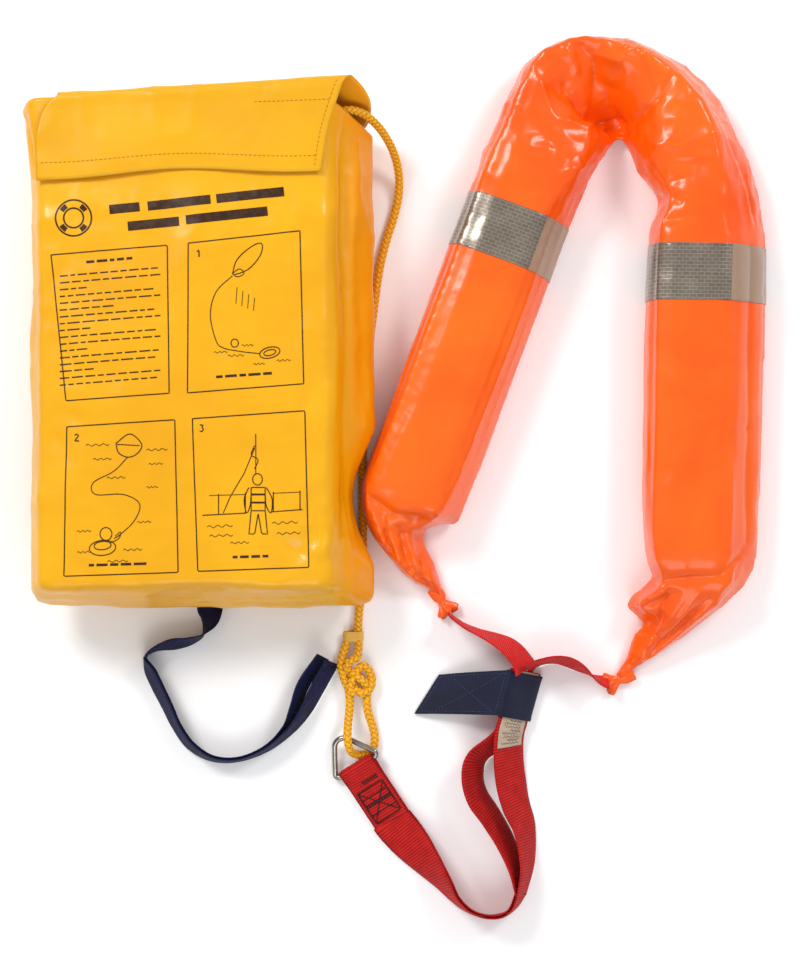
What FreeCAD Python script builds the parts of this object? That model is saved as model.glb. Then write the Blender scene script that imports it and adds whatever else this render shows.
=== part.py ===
# Man-overboard recovery kit laid out flat: a zip-free stowage bag with its lid closed over the
# mouth, a throwing line, a delta ring, a doubled lifting strap with a sliding keeper, and a
# horseshoe-shaped buoyant sling.  Millimetres, +Z up, origin at the centre of the bag's back.
import FreeCAD, Part
import math
import os

V = FreeCAD.Vector

# ---------------------------------------------------------------- bag
bag_back_width = 245.0       # flat back panel, across
bag_back_length = 410.0      # flat back panel, base to mouth
bag_back_base = -205.0       # its base edge, from which the length is measured
bag_depth = 106.0            # back to front
bag_front_width = 248.0      # front panel, across
bag_front_length = 424.0     # front panel, base to mouth
bag_front_base = -200.0      # its base edge
bag_lean = -21.0             # the full bag's front lies this far to the left of its back
bag_belly_height = 52.0      # height of the widest line of the gussets
bag_belly_left = -158.0      # widest line of the left gusset
bag_belly_right = 145.0      # widest line of the right gusset
bag_belly_base = -217.0      # widest line of the base
bag_belly_mouth = 198.0      # mouth edge at the widest line
bag_wall = 2.0               # coated fabric and its hems
belly_dent = 18.0            # how far the sling's lower end pushes the right gusset in
belly_dent_y = -124.0        # where it does so
belly_dent_reach = 60.0      # half length of the dent
bag_cut_shares = (0.0, 0.08, 0.16, 0.22, 0.30, 0.38, 1.0)   # sections along the bag, closer at the dent
base_panel_top = -190.0      # the base panel is cut from the gussets at this line

# lid, tongue and closure
lid_gap = 0.6                # lid clear of the panels it turns past
lid_wall = 1.6
lid_fold_left_x = -128.0
lid_fold_right_x = 119.0
lid_fold_left_reach = 2.0    # the fold stands this far past the front panel's mouth edge
lid_fold_right_reach = 17.0
lid_fold_rise = 1.6          # fold above the front panel
tongue_gap = 0.9             # tongue's underside above the fold
tongue_drop = 79.0           # tongue length down the front
tongue_skew = -20.0          # the tongue hangs this far to the left at its lower edge
tape_width = 38.0            # hook and loop tape
tape_length = 190.0
tape_thick = 0.8
tape_gap = 0.3
tape_inset = 28.0            # from the tongue's left edge
tape_edge = 8.0              # from the tongue's free edge

# stowed line and its pocket
stowed_size = V(215.0, 262.0, 52.0)
stowed_corner = V(-112.0, -192.0, 5.0)
stowed_round = 12.0
pocket_gap = 3.0
pocket_length = 300.0

# ---------------------------------------------------------------- line
line_diameter = 8.0
knot_width = 29.0
knot_length = 50.0
knot_height = 15.0
knot_centre = V(126.5, -279.0, 0)
line_tape_length = 9.5
line_tape_width = 18.5
line_tape_height = 9.6
line_tape_reach = 4.5        # the tape reaches this far past the line's middle on the right
floor_gap = 0.2              # what lies on the floor is drawn this far above it
tape_round = 3.5
knot_round = 4.5

# ---------------------------------------------------------------- delta ring
ring_wire = 5.0
ring_bar = 49.0              # bar, corner to corner on the wire's centre line
ring_height = 38.0           # bar to the unrounded apex
ring_corner = 3.2            # centre-line radius beside the bar
ring_apex = 9.0              # centre-line radius at the apex
ring_tilt = 5.0              # degrees the ring leans up from the strap
ring_centre = V(127.5, -365.5, 9.4)
ring_heading = -57.5         # direction in which the strap leaves the bar
ring_roll = 12.0             # degrees the bar is raised at its right end

# ---------------------------------------------------------------- lifting strap
strap_width = 38.0
strap_thick = 2.0
strap_pair_gap = 0.3         # between the two layers
eye_side_gap = 0.4312        # webbing, drawn in where it goes round the bar, to the ring's sides
eye_length = 58.0
eye_clearance = 0.3          # webbing to wire

# keeper cuff
keeper_length = 42.0
keeper_wall = 1.4
keeper_cavity_width = 41.0
keeper_cavity_thick = 7.0
keeper_centre = V(273.2, -300.0, 0)
keeper_heading = 74.7
keeper_roll = 42.0
keeper_travel = 12.0         # down the straight strands, towards the ring
keeper_tab_thick = 3.0
keeper_tab_left = (V(201.2, -282.2, 0), V(178.6, -318.0, 0))

label_width = 30.0
label_thick = 0.5

# ---------------------------------------------------------------- tail webbing
tail_width = 25.0
tail_thick = 1.7

# ---------------------------------------------------------------- sling
arm_height_out = 62.0        # height of the arm's outer edge
arm_height_in = 66.0         # height of the arm's inner edge
arm_face = 71.0              # width of the arm's flat top face
left_arm_base = 97.0         # width on the floor
right_arm_base = 112.0
arm_undercut = 14.0          # the outer edge is lifted clear of the floor by this chamfer
left_arm_corner = V(130.4, -114.6, 0)
left_arm_heading = 69.6
left_arm_length = 284.0
right_arm_corner = V(389.5, 106.0, 0)
right_arm_heading = -91.2
right_arm_length = 278.0
cover_wall = 1.5
foam_gap = 0.6
foam_width = 64.0
foam_side = 5.0
joint_gap = 0.5              # between the crown and the arms
crown_extra = 2.0            # the crown stands this much higher than an arm's outer edge
crown_top_left = V(327, 291, 0)        # outside of the bend
crown_top_right = V(455, 233, 0)
crown_crease = V(366, 199, 0)          # the pinched inside
crown_throat = V(391.5, 156, 0)
crown_mids = (V(266, 245, 0), V(400, 276, 0), V(487, 172, 0), V(373, 174, 0))   # points on the arcs between
band_width = 50.0            # reflective tape
band_thick = 0.6
left_band_inset = 0.0        # below the left arm's upper end
right_band_inset = 2.0       # below the right arm's upper end
tie_radius = 7.0
tie_length = 9.0


# ---------------------------------------------------------------- helpers
def unit(angle, pitch=0.0):
    """Direction in plan at an angle in degrees, raised by a pitch in degrees."""
    a = math.radians(angle)
    p = math.radians(pitch)
    return V(math.cos(a) * math.cos(p), math.sin(a) * math.cos(p), math.sin(p))


def polygon(points):
    return Part.makePolygon(list(points) + [points[0]])


def prism(points, direction):
    return Part.Face(polygon(points)).extrude(direction)


def loft(sections):
    """Ruled solid through closed outlines that have the same number of points."""
    return Part.makeLoft([polygon(s) for s in sections], True, True)


def box(low, size):
    return Part.makeBox(size.x, size.y, size.z, low)


def save(name, shape):
    solids = shape.Solids
    result = solids[0] if len(solids) == 1 else Part.makeCompound(solids)
    result.exportStep("parts/" + name + ".step")
    state = "ok" if all(s.isValid() for s in solids) else "BAD"
    print("%-22s solids %d  volume %9.0f mm3  %s" % (name, len(solids), result.Volume, state))
    return result


def strap_sections(stations, width, thick, shift=0.0):
    """Rectangles across a strap that rests on its lower edge.

    A station is (x, y, roll) or (x, y, roll, rise): the roll in degrees raises the left edge.
    """
    return [strap_section(station, heading_at(stations, i), width, thick, shift)
            for i, station in enumerate(stations)]


def heading_at(stations, i):
    """Direction from the station before to the station after, in degrees."""
    before = stations[max(i - 1, 0)]
    after = stations[min(i + 1, len(stations) - 1)]
    return math.degrees(math.atan2(after[1] - before[1], after[0] - before[0]))


def strap_section(station, heading, width, thick, shift):
    x, y, roll = station[:3]
    rise = station[3] if len(station) > 3 else 0.0
    across = unit(heading + 90.0) * math.cos(math.radians(roll)) + V(0, 0, math.sin(math.radians(roll)))
    normal = unit(heading).cross(across)
    lowest = abs(across.z) * width / 2 + abs(normal.z) * (thick / 2 + abs(shift))
    centre = V(x, y, lowest + rise) + normal * shift
    half_w = across * (width / 2)
    half_t = normal * (thick / 2)
    return [centre - half_w - half_t, centre + half_w - half_t,
            centre + half_w + half_t, centre - half_w + half_t]


def strap(stations, width, thick, shift=0.0):
    return loft(strap_sections(stations, width, thick, shift))


def rounded_path(points):
    """Straight runs joined by tangent arcs; prints each arc's radius."""
    edges = []
    radii = []
    start = points[0]
    for before, corner, after in zip(points, points[1:], points[2:]):
        arriving = corner - before
        leaving = after - corner
        turn = arriving.getAngle(leaving)
        trim = 0.45 * min(arriving.Length, leaving.Length)
        radii.append(trim / math.tan(turn / 2))
        arriving.normalize()
        leaving.normalize()
        first = corner - arriving * trim
        last = corner + leaving * trim
        inward = leaving - arriving
        inward.normalize()
        depth = radii[-1] / math.cos(turn / 2) - radii[-1]
        edges.append(Part.makeLine(start, first))
        edges.append(Part.Arc(first, corner + inward * depth, last).toShape())
        start = last
    edges.append(Part.makeLine(start, points[-1]))
    return Part.Wire(edges), radii


def cord(points, diameter):
    wire, radii = rounded_path([V(*p) for p in points])
    first = wire.Edges[0]
    direction = first.Vertexes[1].Point - first.Vertexes[0].Point
    profile = Part.Wire(Part.makeCircle(diameter / 2, V(*points[0]), direction))
    tube = wire.makePipeShell([profile], True, False)
    expected = math.pi * diameter ** 2 / 4 * wire.Length
    print("cord length %.1f, volume ratio %.4f" % (wire.Length, tube.Volume / expected))
    print("cord radii", [round(r) for r in radii])
    return tube


# ---------------------------------------------------------------- bag pieces
def belly_right(y):
    """Widest line of the right gusset, pushed in where the sling's end lies on it."""
    away = abs(y - belly_dent_y) / belly_dent_reach
    return bag_belly_right - belly_dent * max(0.0, 1 - away * away)


def bag_section(y_share, inset, open_end=0.0):
    """Outline across the bag at a share of its length, 0 at the base and 1 at the mouth."""
    back_y = bag_back_base + y_share * bag_back_length
    front_y = bag_front_base + y_share * bag_front_length
    belly_y = bag_belly_base + y_share * (bag_belly_mouth - bag_belly_base)
    push = V(0, open_end, 0)
    back = bag_back_width / 2 - inset
    front = bag_front_width / 2 - inset
    lean = bag_lean
    outline = [V(-back, back_y, inset), V(back, back_y, inset),
               V(belly_right(belly_y) - inset, belly_y, bag_belly_height),
               V(lean + front, front_y, bag_depth - inset), V(lean - front, front_y, bag_depth - inset),
               V(bag_belly_left + inset, belly_y, bag_belly_height)]
    return [p + push for p in outline]


def build_bag():
    """The shell is the outer shape less the inner one, cut into its five panels."""
    outer = [bag_section(s, 0.0) for s in bag_cut_shares]
    base_share = bag_wall / bag_back_length
    inner = [bag_section(s, bag_wall) for s in (base_share,) + bag_cut_shares[1:]]
    past_mouth = 60.0
    inner.append(bag_section(1.0, bag_wall, past_mouth))
    shell = solid_between(outer).cut(solid_between(inner))
    far = 900.0
    corner = V(-far / 2, -far / 2, 0)
    back = shell.common(box(corner, V(far, far, bag_wall)))
    front = shell.common(box(corner + V(0, 0, bag_depth - bag_wall), V(far, far, bag_wall)))
    middle = shell.common(box(corner + V(0, 0, bag_wall), V(far, far, bag_depth - 2 * bag_wall)))
    below = box(corner, V(far, base_panel_top + far / 2, far))
    base = middle.common(below)
    sides = middle.cut(below)
    left = sides.common(box(corner, V(far / 2, far, far)))
    right = sides.common(box(corner + V(far / 2, 0, 0), V(far / 2, far, far)))
    save("bag_back_panel", back)
    save("bag_front_panel", front)
    save("bag_base_panel", base)
    save("bag_left_gusset", left)
    save("bag_right_gusset", right)


def solid_between(outlines):
    """Closed solid with triangulated walls between outlines, so that no wall is warped."""
    faces = [triangle_fan(outlines[0]), triangle_fan(outlines[-1])]
    faces = [f for fan in faces for f in fan]
    for near, away in zip(outlines, outlines[1:]):
        count = len(near)
        for i in range(count):
            j = (i + 1) % count
            faces.append(Part.Face(polygon([near[i], near[j], away[j]])))
            faces.append(Part.Face(polygon([near[i], away[j], away[i]])))
    solid = Part.makeSolid(Part.makeShell(faces))
    if solid.Volume < 0:
        solid.reverse()
    return solid


def triangle_fan(outline):
    return [Part.Face(polygon([outline[0], a, b])) for a, b in zip(outline[1:], outline[2:])]


def lid_fold():
    """Left and right ends of the lid's fold, in plan."""
    mouth = bag_front_base + bag_front_length
    return (V(lid_fold_left_x, mouth + lid_fold_left_reach, 0),
            V(lid_fold_right_x, mouth + lid_fold_right_reach, 0))


def build_lid():
    """The lid closes the mouth; its tongue folds down over the front."""
    hinge_y = bag_back_base + bag_back_length + lid_gap
    half = bag_back_width / 2
    fold_z = bag_depth + lid_fold_rise
    hinge_z = bag_wall / 2
    fold_left, fold_right = lid_fold()
    low_left = V(-half, hinge_y, hinge_z)
    low_right = V(half, hinge_y, hinge_z)
    high_left = fold_left + V(0, -lid_wall, fold_z)
    high_right = fold_right + V(0, -lid_wall, fold_z)
    out = V(0, lid_wall, 0)
    save("bag_lid", loft([[low_left, low_right, low_right + out, low_left + out],
                          [high_left, high_right, high_right + out, high_left + out]]))
    tongue_z = fold_z + tongue_gap
    drop = V(tongue_skew, -tongue_drop, 0)
    tongue = [fold_left, fold_right, fold_right + drop, fold_left + drop]
    lifted = [p + V(0, 0, tongue_z) for p in tongue]
    save("flap_tongue", prism(lifted, V(0, 0, lid_wall)))
    build_closure(tongue_z)


def build_closure(tongue_z):
    """Hook tape under the tongue, facing loop tape on the front panel."""
    fold_left, fold_right = lid_fold()
    along = fold_right - fold_left
    along.normalize()
    across = V(-along.y, along.x, 0)
    start = fold_left + V(tongue_skew, -tongue_drop, 0) + along * tape_inset + across * tape_edge
    outline = [start, start + along * tape_length,
               start + along * tape_length + across * tape_width, start + across * tape_width]
    hook = [p + V(0, 0, tongue_z - tape_thick) for p in outline]
    loop = [p + V(0, 0, bag_depth) for p in outline]
    save("flap_hook_tape", prism(hook, V(0, 0, tape_thick)))
    save("front_loop_tape", prism(loop, V(0, 0, tongue_z - tape_thick - tape_gap - bag_depth)))


def build_stowed_line():
    """The flaked line, and the sewn pocket panel that holds it against the back."""
    block = box(stowed_corner, stowed_size)
    save("stowed_line", block.makeFillet(stowed_round, block.Edges))
    low = stowed_corner + V(-pocket_gap, 2.0, stowed_size.z + pocket_gap)
    save("line_pocket", box(low, V(stowed_size.x + 2 * pocket_gap, pocket_length, bag_wall)))


# ---------------------------------------------------------------- line pieces
# The throwing line leaves the stowed line, comes out of the mouth at the lid's open right end,
# drops to the floor and runs along it under the right gusset to the knot.
throw_route = [
    (66, 70, 34), (66, 96, 34), (72, 135, 46), (85, 171, 61), (100, 194, 69.5), (117, 209, 72),
    (133, 213, 65.5), (146, 208, 52), (155.5, 197, 35.5), (162, 183, 20.5), (165.3, 166, 9.5),
    (164.5, 148, 4.7), (159.5, 129, 4.3), (152, 107, 4.3), (146.5, 82, 4.3), (142.5, 50, 4.3),
    (137, 10, 4.3), (133.3, -40, 4.3), (131.5, -98, 4.3), (132.5, -150, 4.3), (132, -189, 4.3),
    (130.3, -214, 4.3), (128, -231, 4.6), (128, -244, 4.6)]

# The eye's legs leave the knot, pass over one side of the ring and under the other.
eye_route = [
    (120.5, -304.1, 9), (120.5, -313, 9), (119, -325, 16), (118.5, -338, 24), (120.5, -349.5, 20),
    (124.5, -354, 8.5), (132, -355.5, 4.8), (141, -351.5, 4.8), (144, -341.5, 4.5),
    (141, -328, 4.5), (136, -315, 8), (136, -304.1, 8)]


def build_line():
    save("throw_line", cord(throw_route, line_diameter))
    end = throw_route[-1]
    tape_low = V(end[0] - line_tape_width + line_tape_reach, end[1] - line_tape_length, floor_gap)
    tape = box(tape_low, V(line_tape_width, line_tape_length, line_tape_height))
    long_edges = [e for e in tape.Edges if abs(e.Vertexes[0].Y - e.Vertexes[1].Y) > 1]
    save("line_end_tape", tape.makeFillet(tape_round, long_edges))
    knot_low = V(knot_centre.x - knot_width / 2, knot_centre.y - knot_length / 2, floor_gap)
    knot = box(knot_low, V(knot_width, knot_length, knot_height))
    long_edges = [e for e in knot.Edges if abs(e.Vertexes[0].Y - e.Vertexes[1].Y) > 1]
    save("line_knot", knot.makeFillet(knot_round, long_edges))
    save("line_eye", cord(eye_route, line_diameter))


# ---------------------------------------------------------------- ring and strap
def ring_frame():
    """Bar direction, strap direction and normal at the delta ring's bar."""
    leave = unit(ring_heading)
    roll = math.radians(ring_roll)
    bar = unit(ring_heading + 90) * math.cos(roll) + V(0, 0, math.sin(roll))
    return bar, leave, leave.cross(bar)


def eye_width():
    """Width that lies between the ring's sides at the far side of the webbing's roll."""
    roll = ring_wire / 2 + eye_clearance + strap_thick
    side_angle = math.atan(ring_bar / 2 / ring_height)
    half = ring_bar / 2 * (1 - roll / ring_height) - ring_wire / 2 / math.cos(side_angle) - eye_side_gap
    return 2 * half


def rounded_triangle(corners, radii):
    """Closed wire of a triangle with a tangent arc at each corner."""
    trimmed = []
    for i, corner in enumerate(corners):
        to_last = corners[i - 1] - corner
        to_next = corners[(i + 1) % 3] - corner
        half = to_last.getAngle(to_next) / 2
        to_last.normalize()
        to_next.normalize()
        trim = radii[i] / math.tan(half)
        inward = to_last + to_next
        inward.normalize()
        middle = corner + inward * (radii[i] / math.sin(half) - radii[i])
        trimmed.append((corner + to_last * trim, middle, corner + to_next * trim))
    edges = []
    for i, (first, middle, last) in enumerate(trimmed):
        edges.append(Part.Arc(first, middle, last).toShape())
        edges.append(Part.makeLine(last, trimmed[(i + 1) % 3][0]))
    return Part.Wire(edges)


def build_ring():
    bar, leave, normal = ring_frame()
    tilt = math.radians(ring_tilt)
    rise = normal * math.sin(tilt) - leave * math.cos(tilt)
    half = bar * (ring_bar / 2)
    corners = [ring_centre - half, ring_centre + half, ring_centre + rise * ring_height]
    wire = rounded_triangle(corners, [ring_corner, ring_corner, ring_apex])
    middle = (wire.Edges[1].Vertexes[0].Point + wire.Edges[1].Vertexes[1].Point) * 0.5
    circle = Part.Wire(Part.makeCircle(ring_wire / 2, wire.Edges[-1].Vertexes[0].Point,
                                       tangent_at_start(wire.Edges[-1])))
    ordered = Part.Wire([wire.Edges[-1]] + list(wire.Edges[:-1]))
    save("delta_ring", ordered.makePipeShell([circle], True, False))
    print("ring bar middle", [round(c, 2) for c in middle], "bar direction", [round(c, 4) for c in bar])


def tangent_at_start(edge):
    return edge.Vertexes[1].Point - edge.Vertexes[0].Point


def build_strap_eye():
    """Webbing folded round the bar and sewn back on itself."""
    bar, leave, normal = ring_frame()
    pair = 2 * strap_thick + strap_pair_gap
    bore = ring_wire / 2 + eye_clearance
    width = eye_width()
    start = ring_centre - bar * (width / 2)
    roll = Part.makeCylinder(bore + strap_thick, width, start, bar)
    drop = bore + strap_thick - pair / 2
    flat_start = start - normal * (pair / 2)
    corners = [flat_start, flat_start + normal * pair,
               flat_start + normal * (pair - drop) + leave * eye_length,
               flat_start - normal * drop + leave * eye_length]
    flat = Part.Face(polygon(corners)).extrude(bar * width)
    hole = Part.makeCylinder(bore, width + 2, start - bar, bar)
    save("strap_eye", roll.fuse(flat).cut(hole).removeSplitter())
    build_eye_stitching(start, bar, leave, normal, pair, drop)


def build_eye_stitching(start, bar, leave, normal, pair, drop):
    """Two bar tacks and a box with a cross, standing just proud of the webbing."""
    slope = leave * eye_length - normal * drop
    slope.normalize()
    up = slope.cross(bar) * -1
    if up.z < 0:
        up = up * -1
    base = start + normal * (pair / 2) + up * 0.05

    def seam(from_across, from_along, to_across, to_along, width):
        first = base + bar * from_across + slope * from_along
        last = base + bar * to_across + slope * to_along
        along = last - first
        side = along.cross(up)
        side.normalize()
        half = side * (width / 2)
        return prism([first - half, first + half, last + half, last - half], up * 0.6)

    edge = 5.0
    wide = eye_width() - edge
    box_start = 22.0
    box_end = 52.0
    seams = [seam(edge, 15.0, wide, 15.0, 3.0), seam(edge, 36.0, wide, 36.0, 4.0)]
    seams.append(seam(edge, box_end, wide, box_end, 1.4))
    seams.append(seam(edge, box_start, wide, box_start, 1.4))
    for side in (edge, wide):
        seams.append(seam(side, box_start + 1.5, side, 33.0, 1.4))
        seams.append(seam(side, 39.0, side, box_end - 1.5, 1.4))
    save("eye_stitching", Part.makeCompound(seams))


# The doubled strap leaves the eye flat, rolls on edge round the bend and opens into two strands.
pair_stations = [(160.3, -416.4, 11, 1.2), (168, -425.5, 14, 0.6), (178, -437, 26), (190, -451, 44),
                 (204, -468, 62), (214.5, -482, 74), (227, -493, 79), (243, -499, 80), (258, -498, 80),
                 (268, -491, 77), (275, -478, 71)]
bend_first = 4               # the doubled strap is cut into its run and its bend at this station
left_strand_stations = [(270, -454, 67), (260.5, -431, 63), (247.5, -409, 60),
                        (235.5, -391, 58), (231.5, -372, 56), (237, -354, 54, 1)]
right_strand_stations = [(281, -452, 66), (278.5, -421, 56), (271, -400, 47),
                         (266.5, -380, 42, 2), (264, -358, 42, 4)]
left_lead_stations = [(275.2, -268.5, 62, 4), (270.5, -262, 62, 3), (263, -255.5, 66, 2), (252, -249.5, 74),
                      (238, -243.5, 82), (225, -237.5, 86), (214.5, -230.5, 88)]
right_lead_stations = [(286.5, -272.2, 76, 2), (296, -268.8, 76, 1), (307, -267.8, 74), (318, -270, 72),
                       (329, -275.5, 76), (339.5, -282.5, 90), (347.5, -286.5, 100)]


def keeper_rise():
    """Height of the keeper's centre line when its lower edge is just off the floor."""
    roll = math.radians(keeper_roll)
    width = keeper_cavity_width + 2 * keeper_wall
    thick = keeper_cavity_thick + 2 * keeper_wall
    return width / 2 * math.sin(roll) + thick / 2 * math.cos(roll) + 0.3


def keeper_axis_point(along, lift=0.0):
    point = keeper_centre + unit(keeper_heading) * along
    return V(point.x, point.y, keeper_rise() + lift)


def keeper_frame():
    roll = math.radians(keeper_roll)
    axis = unit(keeper_heading)
    across = unit(keeper_heading + 90) * math.cos(roll) + V(0, 0, math.sin(roll))
    return axis, across, axis.cross(across)


def keeper_section(along, width, thick, shift):
    """Rectangle across the keeper's bore, shifted along its normal."""
    axis, across, normal = keeper_frame()
    centre = keeper_axis_point(along) + normal * shift
    half_w = across * (width / 2)
    half_t = normal * (thick / 2)
    return [centre - half_w - half_t, centre + half_w - half_t,
            centre + half_w + half_t, centre - half_w + half_t]


def build_strap():
    pair = 2 * strap_thick + strap_pair_gap
    layer = (strap_thick + strap_pair_gap) / 2
    sections = strap_sections(pair_stations, strap_width, pair)
    save("strap_run", loft(sections[:bend_first + 1]))
    save("strap_bend", loft(sections[bend_first:]))
    split_heading = heading_at(pair_stations, len(pair_stations) - 1)
    lower = -(keeper_length / 2 + keeper_travel + 2.0)
    upper = keeper_length / 2 + 2.0
    keeper_entry = tuple(keeper_axis_point(lower))[:2] + (keeper_roll,)
    for name, stations, side in (("left_strand", left_strand_stations, -1),
                                 ("right_strand", right_strand_stations, 1)):
        path = [pair_stations[-1]] + stations + [keeper_entry]
        sections = [strap_section(path[0], split_heading, strap_width, strap_thick, side * layer)]
        sections += strap_sections(path, strap_width, strap_thick)[1:-1]
        for along in (lower, upper):
            sections.append(keeper_section(along, strap_width, strap_thick, side * layer))
        save(name, loft(sections))
    save("left_lead", strap(left_lead_stations, strap_width, strap_thick))
    save("right_lead", strap(right_lead_stations, strap_width, strap_thick))
    face = layer + strap_thick / 2 + 0.05 + label_thick / 2
    save("strap_label", loft([keeper_section(lower, label_width, label_thick, face),
                              keeper_section(upper, label_width, label_thick, face)]))


def build_keeper():
    outer_w = keeper_cavity_width + 2 * keeper_wall
    outer_t = keeper_cavity_thick + 2 * keeper_wall
    half = keeper_length / 2
    outer = loft([keeper_section(a, outer_w, outer_t, 0) for a in (-half, half)])
    inner = loft([keeper_section(a, keeper_cavity_width, keeper_cavity_thick, 0)
                  for a in (-half - 1, half + 1)])
    save("keeper_sleeve", outer.cut(inner))
    axis, across, normal = keeper_frame()
    seam = keeper_axis_point(0) + across * (outer_w / 2) + across * 0.02
    seam_top = seam + axis * half
    seam_bottom = seam - axis * half
    face = normal * (keeper_tab_thick / 2)
    up = V(0, 0, keeper_tab_thick / 2)
    low = V(0, 0, keeper_tab_thick / 2 + 0.2)
    left_top, left_bottom = [p + low for p in keeper_tab_left]
    tab = loft([[seam_top - face, seam_bottom - face, seam_bottom + face, seam_top + face],
                [left_top - up, left_bottom - up, left_bottom + up, left_top + up]])
    save("keeper_tab", tab)
    build_keeper_stitching(seam_top, seam_bottom, left_top, left_bottom)


def build_keeper_stitching(seam_top, seam_bottom, left_top, left_bottom):
    """A cross of thread between the tab's corners, just proud of its face."""
    lift = V(0, 0, keeper_tab_thick / 2 + 0.45)

    def tab_point(out, down):
        top = seam_top + (left_top - seam_top) * out
        bottom = seam_bottom + (left_bottom - seam_bottom) * out
        return top + (bottom - top) * down + lift

    def thread(first, last, parts=6):
        pieces = []
        width = 1.0
        for i in range(parts):
            a = tab_point(*[f + (l - f) * i / parts for f, l in zip(first, last)])
            b = tab_point(*[f + (l - f) * (i + 1) / parts for f, l in zip(first, last)])
            side = (b - a).cross(V(0, 0, 1))
            side.normalize()
            half = side * (width / 2)
            step = V(0, 0, 0.5)
            pieces.append(loft([[a - half, a + half, a + half + step, a - half + step],
                                [b - half, b + half, b + half + step, b - half + step]]))
        return pieces

    pieces = thread((0.08, 0.12), (0.72, 0.88)) + thread((0.08, 0.92), (0.36, 0.56), 3)
    save("keeper_stitching", Part.makeCompound(pieces))


# ---------------------------------------------------------------- tail webbing
tail_root_stations = [(-6.5, -206, 0), (-6.5, -220, 12), (-6.5, -232, 42), (-11, -243, 80)]
tail_cross_stations = [(-14.5, -247.5, 98), (-26, -252, 112), (-40, -254.5, 118), (-54, -258, 104),
                       (-62, -263, 92)]
tail_leg_stations = [(-63.5, -268.5, 78), (-60, -278, 62), (-53, -293, 60), (-44.5, -310, 62)]
tail_outer_stations = [(-43.6, -312, 62), (-36, -328, 65), (-23, -346, 66), (-3, -357.5, 74), (21, -358, 79),
                       (46, -348, 76), (67, -331, 70), (80, -314, 63), (91, -293, 57), (104, -270, 58)]
tail_inner_stations = [(-43.6, -312, 62), (-36, -328, 65), (-23, -346, 66), (-3, -357.5, 74), (21, -358, 79),
                       (46, -348, 76), (64, -330, 72), (72, -312, 66), (80, -290, 62), (97, -266, 60)]


def build_tail():
    layer = (tail_thick + 0.2) / 2
    save("tail_root", strap(tail_root_stations, tail_width, tail_thick))
    save("tail_cross", strap(tail_cross_stations, tail_width, tail_thick))
    save("tail_leg", strap(tail_leg_stations, tail_width, 2 * tail_thick))
    save("tail_loop_outer", strap(tail_outer_stations, tail_width, tail_thick, layer))
    save("tail_loop_inner", strap(tail_inner_stations, tail_width, tail_thick, -layer))


# ---------------------------------------------------------------- sling pieces
def arm_outline(base_width, grow=0.0):
    """Outline across an arm: (across from the outer edge, height)."""
    flat = [(arm_undercut, 0.0), (base_width, 0.0), (arm_face, arm_height_in),
            (0.0, arm_height_out), (0.0, arm_undercut)]
    face = Part.Face(polygon([V(a, b, 0) for a, b in flat]))
    if grow:
        face = face.makeOffset2D(grow, 2)
    return face


def place_arm(flat_shape, corner, heading, side, start):
    """Turn a shape drawn across an arm upright and set it at a distance along the arm.

    side is -1 where the arm's face lies to the right of its heading and +1 where it lies left.
    """
    along = unit(heading)
    across = unit(heading + 90 * side)
    origin = corner + along * start
    normal = across.cross(V(0, 0, 1))
    matrix = FreeCAD.Matrix(across.x, 0, normal.x, origin.x,
                            across.y, 0, normal.y, origin.y,
                            0, 1, 0, 0,
                            0, 0, 0, 1)
    placed = flat_shape.copy()
    placed.Placement = FreeCAD.Placement(matrix)
    return placed


def arm_prism(face, corner, heading, side, start, length):
    placed = place_arm(face, corner, heading, side, start)
    return placed.extrude(unit(heading) * length)


def build_arm(name, corner, heading, side, length, base_width, band_start):
    outer = arm_prism(arm_outline(base_width), corner, heading, side, 0, length)
    inner = arm_prism(arm_outline(base_width, -cover_wall), corner, heading, side,
                      cover_wall, length - 2 * cover_wall)
    save("cover_%s_arm" % name, outer.cut(inner))
    top = arm_height_out - cover_wall - foam_gap
    low = cover_wall + foam_gap
    core = [(arm_undercut + foam_side, low), (foam_side + foam_width, low),
            (foam_side + foam_width - 4.0, top), (foam_side, top), (foam_side, arm_undercut + foam_side)]
    face = Part.Face(polygon([V(a, b, 0) for a, b in core]))
    save("foam_%s" % name, arm_prism(face, corner, heading, side, low, length - 2 * low))
    ring = arm_outline(base_width, band_thick).cut(arm_outline(base_width))
    above = Part.makeBox(400, 100, 1, V(-100, 3.0, -0.5))
    band = arm_prism(ring.common(above), corner, heading, side, band_start, band_width)
    save("reflective_band_%s" % name, band)


def crown_face(inset=0.0):
    """Plan of the bend between the arms: three arcs outside and a tight crease inside."""
    left_along = unit(left_arm_heading)
    left_start = left_arm_corner + left_along * (left_arm_length + joint_gap)
    left_end = left_start + unit(left_arm_heading - 90) * left_arm_base
    right_along = unit(right_arm_heading)
    right_start = right_arm_corner - right_along * joint_gap
    right_end = right_start + unit(right_arm_heading + 90) * right_arm_base
    edges = [Part.Arc(left_start, crown_mids[0], crown_top_left).toShape(),
             Part.Arc(crown_top_left, crown_mids[1], crown_top_right).toShape(),
             Part.Arc(crown_top_right, crown_mids[2], right_end).toShape(),
             Part.makeLine(right_end, right_start),
             Part.makeLine(right_start, crown_throat),
             Part.Arc(crown_throat, crown_mids[3], crown_crease).toShape(),
             Part.makeLine(crown_crease, left_end),
             Part.makeLine(left_end, left_start)]
    face = Part.Face(Part.Wire(edges))
    if inset:
        face = face.makeOffset2D(-inset, 2)
    return face


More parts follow.
